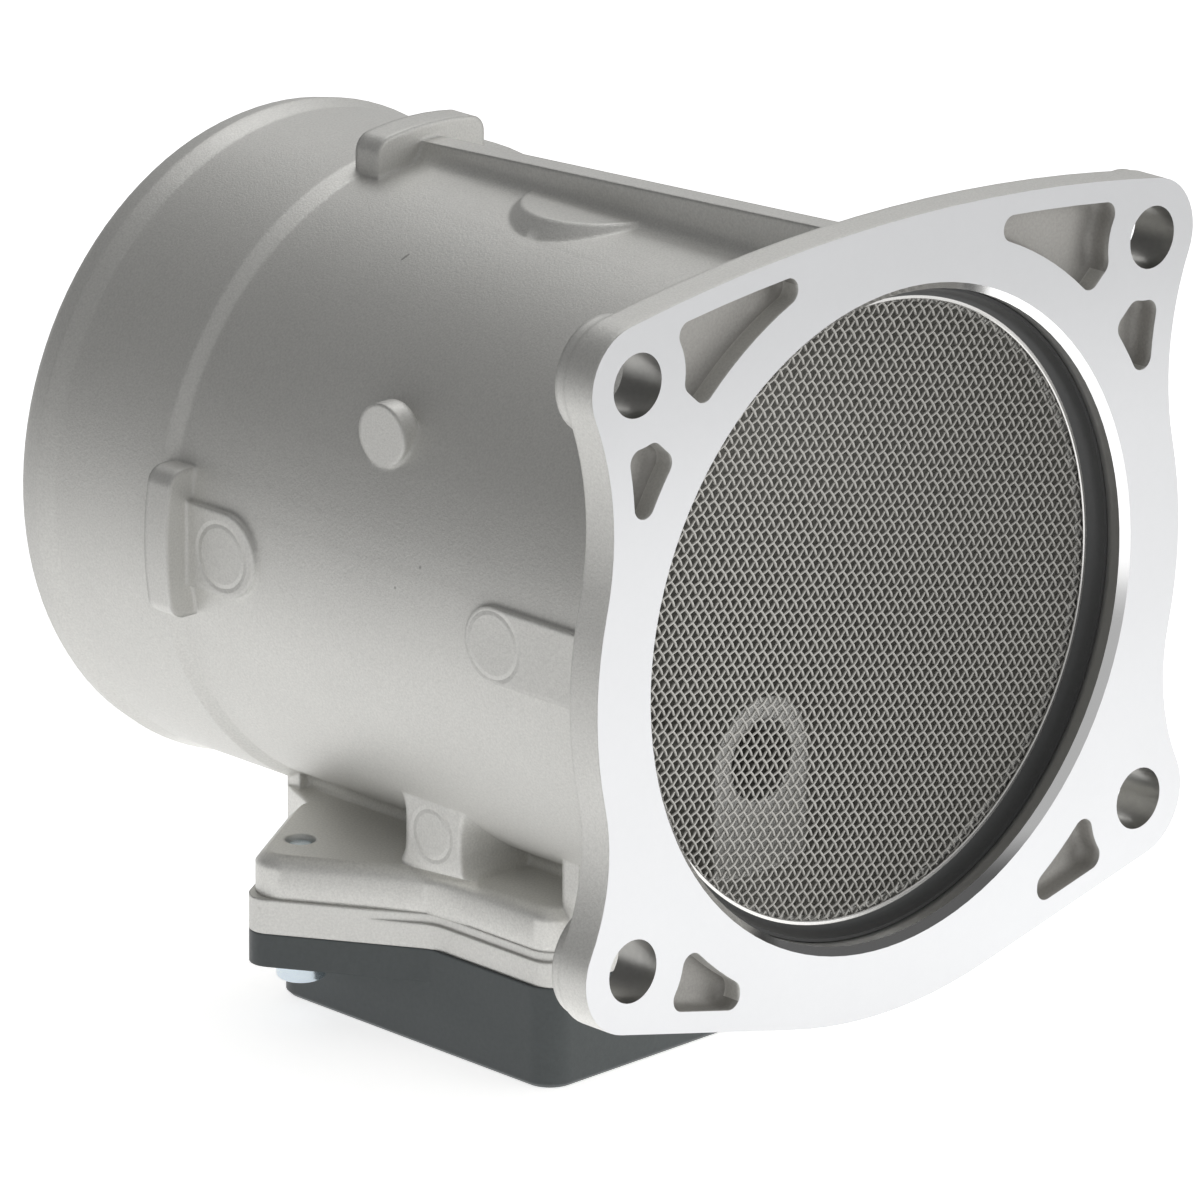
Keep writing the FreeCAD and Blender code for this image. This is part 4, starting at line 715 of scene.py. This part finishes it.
element_glaze, tree, shader = new_material(
    "element_glaze", (0.78, 0.76, 0.68), roughness=0.25
)
shader.inputs["Coat Weight"].default_value = 0.5
turns = tree.nodes.new("ShaderNodeTexWave")
turns.bands_direction = "X"
turns.inputs["Scale"].default_value = 1600.0
wire(tree, object_place(tree), turns.inputs["Vector"])
winding = tree.nodes.new("ShaderNodeBump")
winding.inputs["Distance"].default_value = 0.00004
wire(tree, turns.outputs["Fac"], winding.inputs["Height"])
wire(tree, winding.outputs["Normal"], shader.inputs["Normal"])
for node in ("hot_element", "air_temperature_element"):
    element = finish_piece(welded(node), node + "_bead")
    element.data.materials.append(element_glaze)
    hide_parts(node)

# Electronics case: a black moulded box with an eared flange and a five-way
# connector shell, closed from below by a glued cover, flush with it. The satin
# skin is finely textured and catches the light on its soft edges.
case_black, tree, shader = new_material(
    "case_black", (0.058, 0.067, 0.069), roughness=0.44
)
bump = add_grain(tree, shader, scale=1600.0, fleck=0.35, patch=0.25, depth=0.00002)
corner = soften_corners(tree, bump, 0.5 * MM)
seam, seam_reach = -60.6 * MM, 0.7 * MM
from_seam = sums(tree, "ABSOLUTE", sums(tree, "SUBTRACT", along(tree, "Z"), seam))
flush = tree.nodes.new("ShaderNodeMix")
flush.data_type = "VECTOR"
wire(tree, sums(tree, "LESS_THAN", from_seam, seam_reach), flush.inputs["Factor"])
wire(tree, corner.outputs["Normal"], flush.inputs["A"])
unsoftened = tree.nodes.new("ShaderNodeNewGeometry").outputs["Normal"]
wire(tree, unsoftened, flush.inputs["B"])
wire(tree, flush.outputs["Result"], bump.inputs["Normal"])
for node, name in (("module_case", "electronics_case"), ("module_cover", "case_cover")):
    shell = finish_piece(welded(node), name)
    shell.data.materials.append(case_black)
    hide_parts(node)

# Circuit board with its parts under a clear gel, the five tinned blades that run
# from it into the connector shell, and the two steel bushings of the ears. Each
# has a colour, a roughness, a metal share and a scale of grain.
inner_parts = {
    "circuit_board": ((0.03, 0.13, 0.07), 0.4, 0.0, 1200.0),
    "potting_gel": ((0.62, 0.66, 0.66), 0.12, 0.0, 300.0),
    "control_chip": ((0.02, 0.02, 0.02), 0.45, 0.0, 2500.0),
    "power_transistor": ((0.025, 0.025, 0.025), 0.5, 0.0, 2500.0),
    "precision_resistor": ((0.05, 0.12, 0.25), 0.35, 0.0, 1500.0),
    "capacitors": ((0.45, 0.33, 0.18), 0.4, 0.0, 1500.0),
    "connector_terminals": ((0.66, 0.60, 0.45), 0.28, 1.0, 1800.0),
    "ear_bushings": ((0.60, 0.63, 0.66), 0.3, 1.0, 1800.0),
}
for node, (colour, roughness, metallic, scale) in inner_parts.items():
    material, tree, shader = new_material(node + "_finish", colour, roughness, metallic)
    add_grain(tree, shader, scale=scale, fleck=0.25, patch=0.15, depth=0.00001)
    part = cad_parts[node]
    part.data.materials.clear()
    part.data.materials.append(material)

# Module screws: two zinc-plated M4 cap screws, put in from below through the
# plastic ears and the plate. Their tips show in the pedestal's screw holes.
zinc, tree, shader = new_material(
    "zinc_plate", (0.66, 0.74, 0.80), roughness=0.24, metallic=0.9
)
add_grain(tree, shader, scale=1500.0, fleck=0.15, patch=0.10, depth=0.00001)
low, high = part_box("module_screws")
screw_places = ((-33.8, 74.1), (33.8, 42.9))
head_radius, head_height, head_round = 3.3 * MM, 3.9 * MM, 0.5 * MM
shank_radius, tip_chamfer = 2.0 * MM, 0.45 * MM
socket_half, socket_depth = 1.5 * MM, 2.0 * MM
form = bmesh.new()
for x, y in screw_places:
    disc = bmesh.ops.create_circle(
        form, cap_ends=True, segments=48, radius=head_radius
    )["verts"]
    bmesh.ops.translate(form, verts=disc, vec=(x * MM, y * MM, low.z))
walls = bmesh.ops.extrude_face_region(form, geom=form.faces[:])["geom"]
tops = only(walls, bmesh.types.BMVert)
bmesh.ops.translate(form, verts=tops, vec=(0, 0, head_height))
caps = only(walls, bmesh.types.BMFace)
bmesh.ops.inset_individual(form, faces=caps, thickness=head_radius - shank_radius)
shanks = bmesh.ops.extrude_discrete_faces(form, faces=caps)["faces"]
shank_verts = list(dict.fromkeys(vert for face in shanks for vert in face.verts))
shank_length = high.z - low.z - head_height
bmesh.ops.translate(form, verts=shank_verts, vec=(0, 0, shank_length))
bmesh.ops.recalc_face_normals(form, faces=form.faces)
rims = [
    edge
    for edge in form.edges
    if all(vert.co.z < low.z + hair for vert in edge.verts)
]
bmesh.ops.bevel(
    form,
    geom=rims,
    offset=head_round,
    segments=4,
    profile=0.5,
    affect="EDGES",
    material=-1,
)
tips = [
    edge
    for edge in form.edges
    if all(vert.co.z > high.z - hair for vert in edge.verts)
]
bmesh.ops.bevel(
    form,
    geom=tips,
    offset=tip_chamfer,
    segments=1,
    profile=0.5,
    affect="EDGES",
    material=-1,
)
bottoms = [face for face in form.faces if face.calc_center_median().z < low.z + hair]
bmesh.ops.inset_individual(form, faces=bottoms, thickness=1.0 * MM)
for face in bottoms:
    middle = face.calc_center_median()
    for vert in face.verts:
        spoke = vert.co - middle
        turn = math.atan2(spoke.y, spoke.x) % math.radians(60) - math.radians(30)
        vert.co = middle + spoke * (socket_half / math.cos(turn) / spoke.length)
sockets = bmesh.ops.extrude_discrete_faces(form, faces=bottoms)["faces"]
socket_verts = list(dict.fromkeys(vert for face in sockets for vert in face.verts))
bmesh.ops.translate(form, verts=socket_verts, vec=(0, 0, socket_depth))
smooth_but_edges(form)
screws = finish_piece(form, "cap_screws")
screws.data.materials.append(zinc)
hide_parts("module_screws")

# Studio: a pale floor that is lit a little from within near the sensor, as a light
# table is, dim walls all round that fade towards the back left, and soft lamps.
floor_form = bmesh.new()
bmesh.ops.create_grid(floor_form, x_segments=1, y_segments=1, size=3.0)
bmesh.ops.translate(floor_form, verts=floor_form.verts, vec=(0, 0, cad_low.z))
floor_mesh = bpy.data.meshes.new("studio_floor")
floor_form.to_mesh(floor_mesh)
floor_form.free()
floor = bpy.data.objects.new("studio_floor", floor_mesh)
bpy.context.scene.collection.objects.link(floor)
floor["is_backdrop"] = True
floor_white, tree, shader = new_material(
    "floor_white", (0.92, 0.92, 0.92), roughness=0.9
)
shader.inputs["Specular IOR Level"].default_value = 0.0
shader.inputs["Emission Color"].default_value = (1.0, 1.0, 1.0, 1.0)
span = tree.nodes.new("ShaderNodeVectorMath")
span.operation = "LENGTH"
wire(tree, object_place(tree), span.inputs[0])
glow = change(tree, span.outputs["Value"], start=0.08, end=0.50, first=0.75, last=0.10)
seen = tree.nodes.new("ShaderNodeMix")
path = tree.nodes.new("ShaderNodeLightPath")
wire(tree, path.outputs["Is Camera Ray"], seen.inputs["Factor"])
wire(tree, glow, seen.inputs["A"])
seen.inputs["B"].default_value = 0.72
wire(tree, seen.outputs["Result"], shader.inputs["Emission Strength"])
floor_mesh.materials.append(floor_white)

world = bpy.data.worlds.new("studio_world")
bpy.context.scene.world = world
world.use_nodes = True
tree = world.node_tree
background = tree.nodes["Background"]
background.inputs["Color"].default_value = (1.0, 1.0, 1.0, 1.0)
towards = tree.nodes.new("ShaderNodeVectorMath")
towards.operation = "DOT_PRODUCT"
wire(tree, tree.nodes.new("ShaderNodeTexCoord").outputs["Generated"], towards.inputs[0])
towards.inputs[1].default_value = (-0.64, 0.70, 0.32)
dim = change(tree, towards.outputs["Value"], start=0.1, end=1.0, first=0.45, last=0.15)
wire(tree, dim, background.inputs["Strength"])
seen = tree.nodes.new("ShaderNodeBackground")
seen.inputs["Color"].default_value = (1.0, 1.0, 1.0, 1.0)
path = tree.nodes.new("ShaderNodeLightPath")
mix = tree.nodes.new("ShaderNodeMixShader")
wire(tree, path.outputs["Is Camera Ray"], mix.inputs["Fac"])
wire(tree, background.outputs["Background"], mix.inputs[1])
wire(tree, seen.outputs["Background"], mix.inputs[2])
wire(tree, mix.outputs["Shader"], tree.nodes["World Output"].inputs["Surface"])


def soft_lamp(name, place, aim, size, power):
    """A square soft box that looks from one point to another."""
    lamp = bpy.data.lights.new(name, "AREA")
    lamp.shape = "SQUARE"
    lamp.size = size
    lamp.energy = power
    box = bpy.data.objects.new(name, lamp)
    box.location = Vector(place)
    look = Vector(aim) - Vector(place)
    box.rotation_euler = look.to_track_quat("-Z", "Y").to_euler()
    bpy.context.scene.collection.objects.link(box)


soft_lamp("front_box", (0.75, -1.0, 0.25), aim=(0, 0, 0), size=0.7, power=4.0)
soft_lamp("top_box", (0.5, 0.4, 1.1), aim=(0, 0.05, 0), size=0.8, power=4.0)

# Camera: a long lens from the front left and a little above, as in the
# photograph, so that the flange face and the whole left side show.
camera_data = bpy.data.cameras.new("photo_camera")
camera_data.sensor_width = 36.0
camera_data.lens = 302.71
camera_data.clip_start = 0.05
camera_data.clip_end = 20.0
camera = bpy.data.objects.new("photo_camera", camera_data)
right = Vector((0.71122171, -0.70293609, 0.00667319))
down = Vector((-0.21874133, -0.23032133, -0.94821111))
forward = Vector((0.66806879, 0.67292863, -0.31757071))
stand = Matrix((right, -down, -forward)).transposed().to_4x4()
stand.translation = Vector((-0.877708, -0.830987, 0.407139))
camera.matrix_world = stand
bpy.context.scene.collection.objects.link(camera)
bpy.context.scene.camera = camera
bpy.context.scene.view_settings.view_transform = "Standard"

low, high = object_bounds()
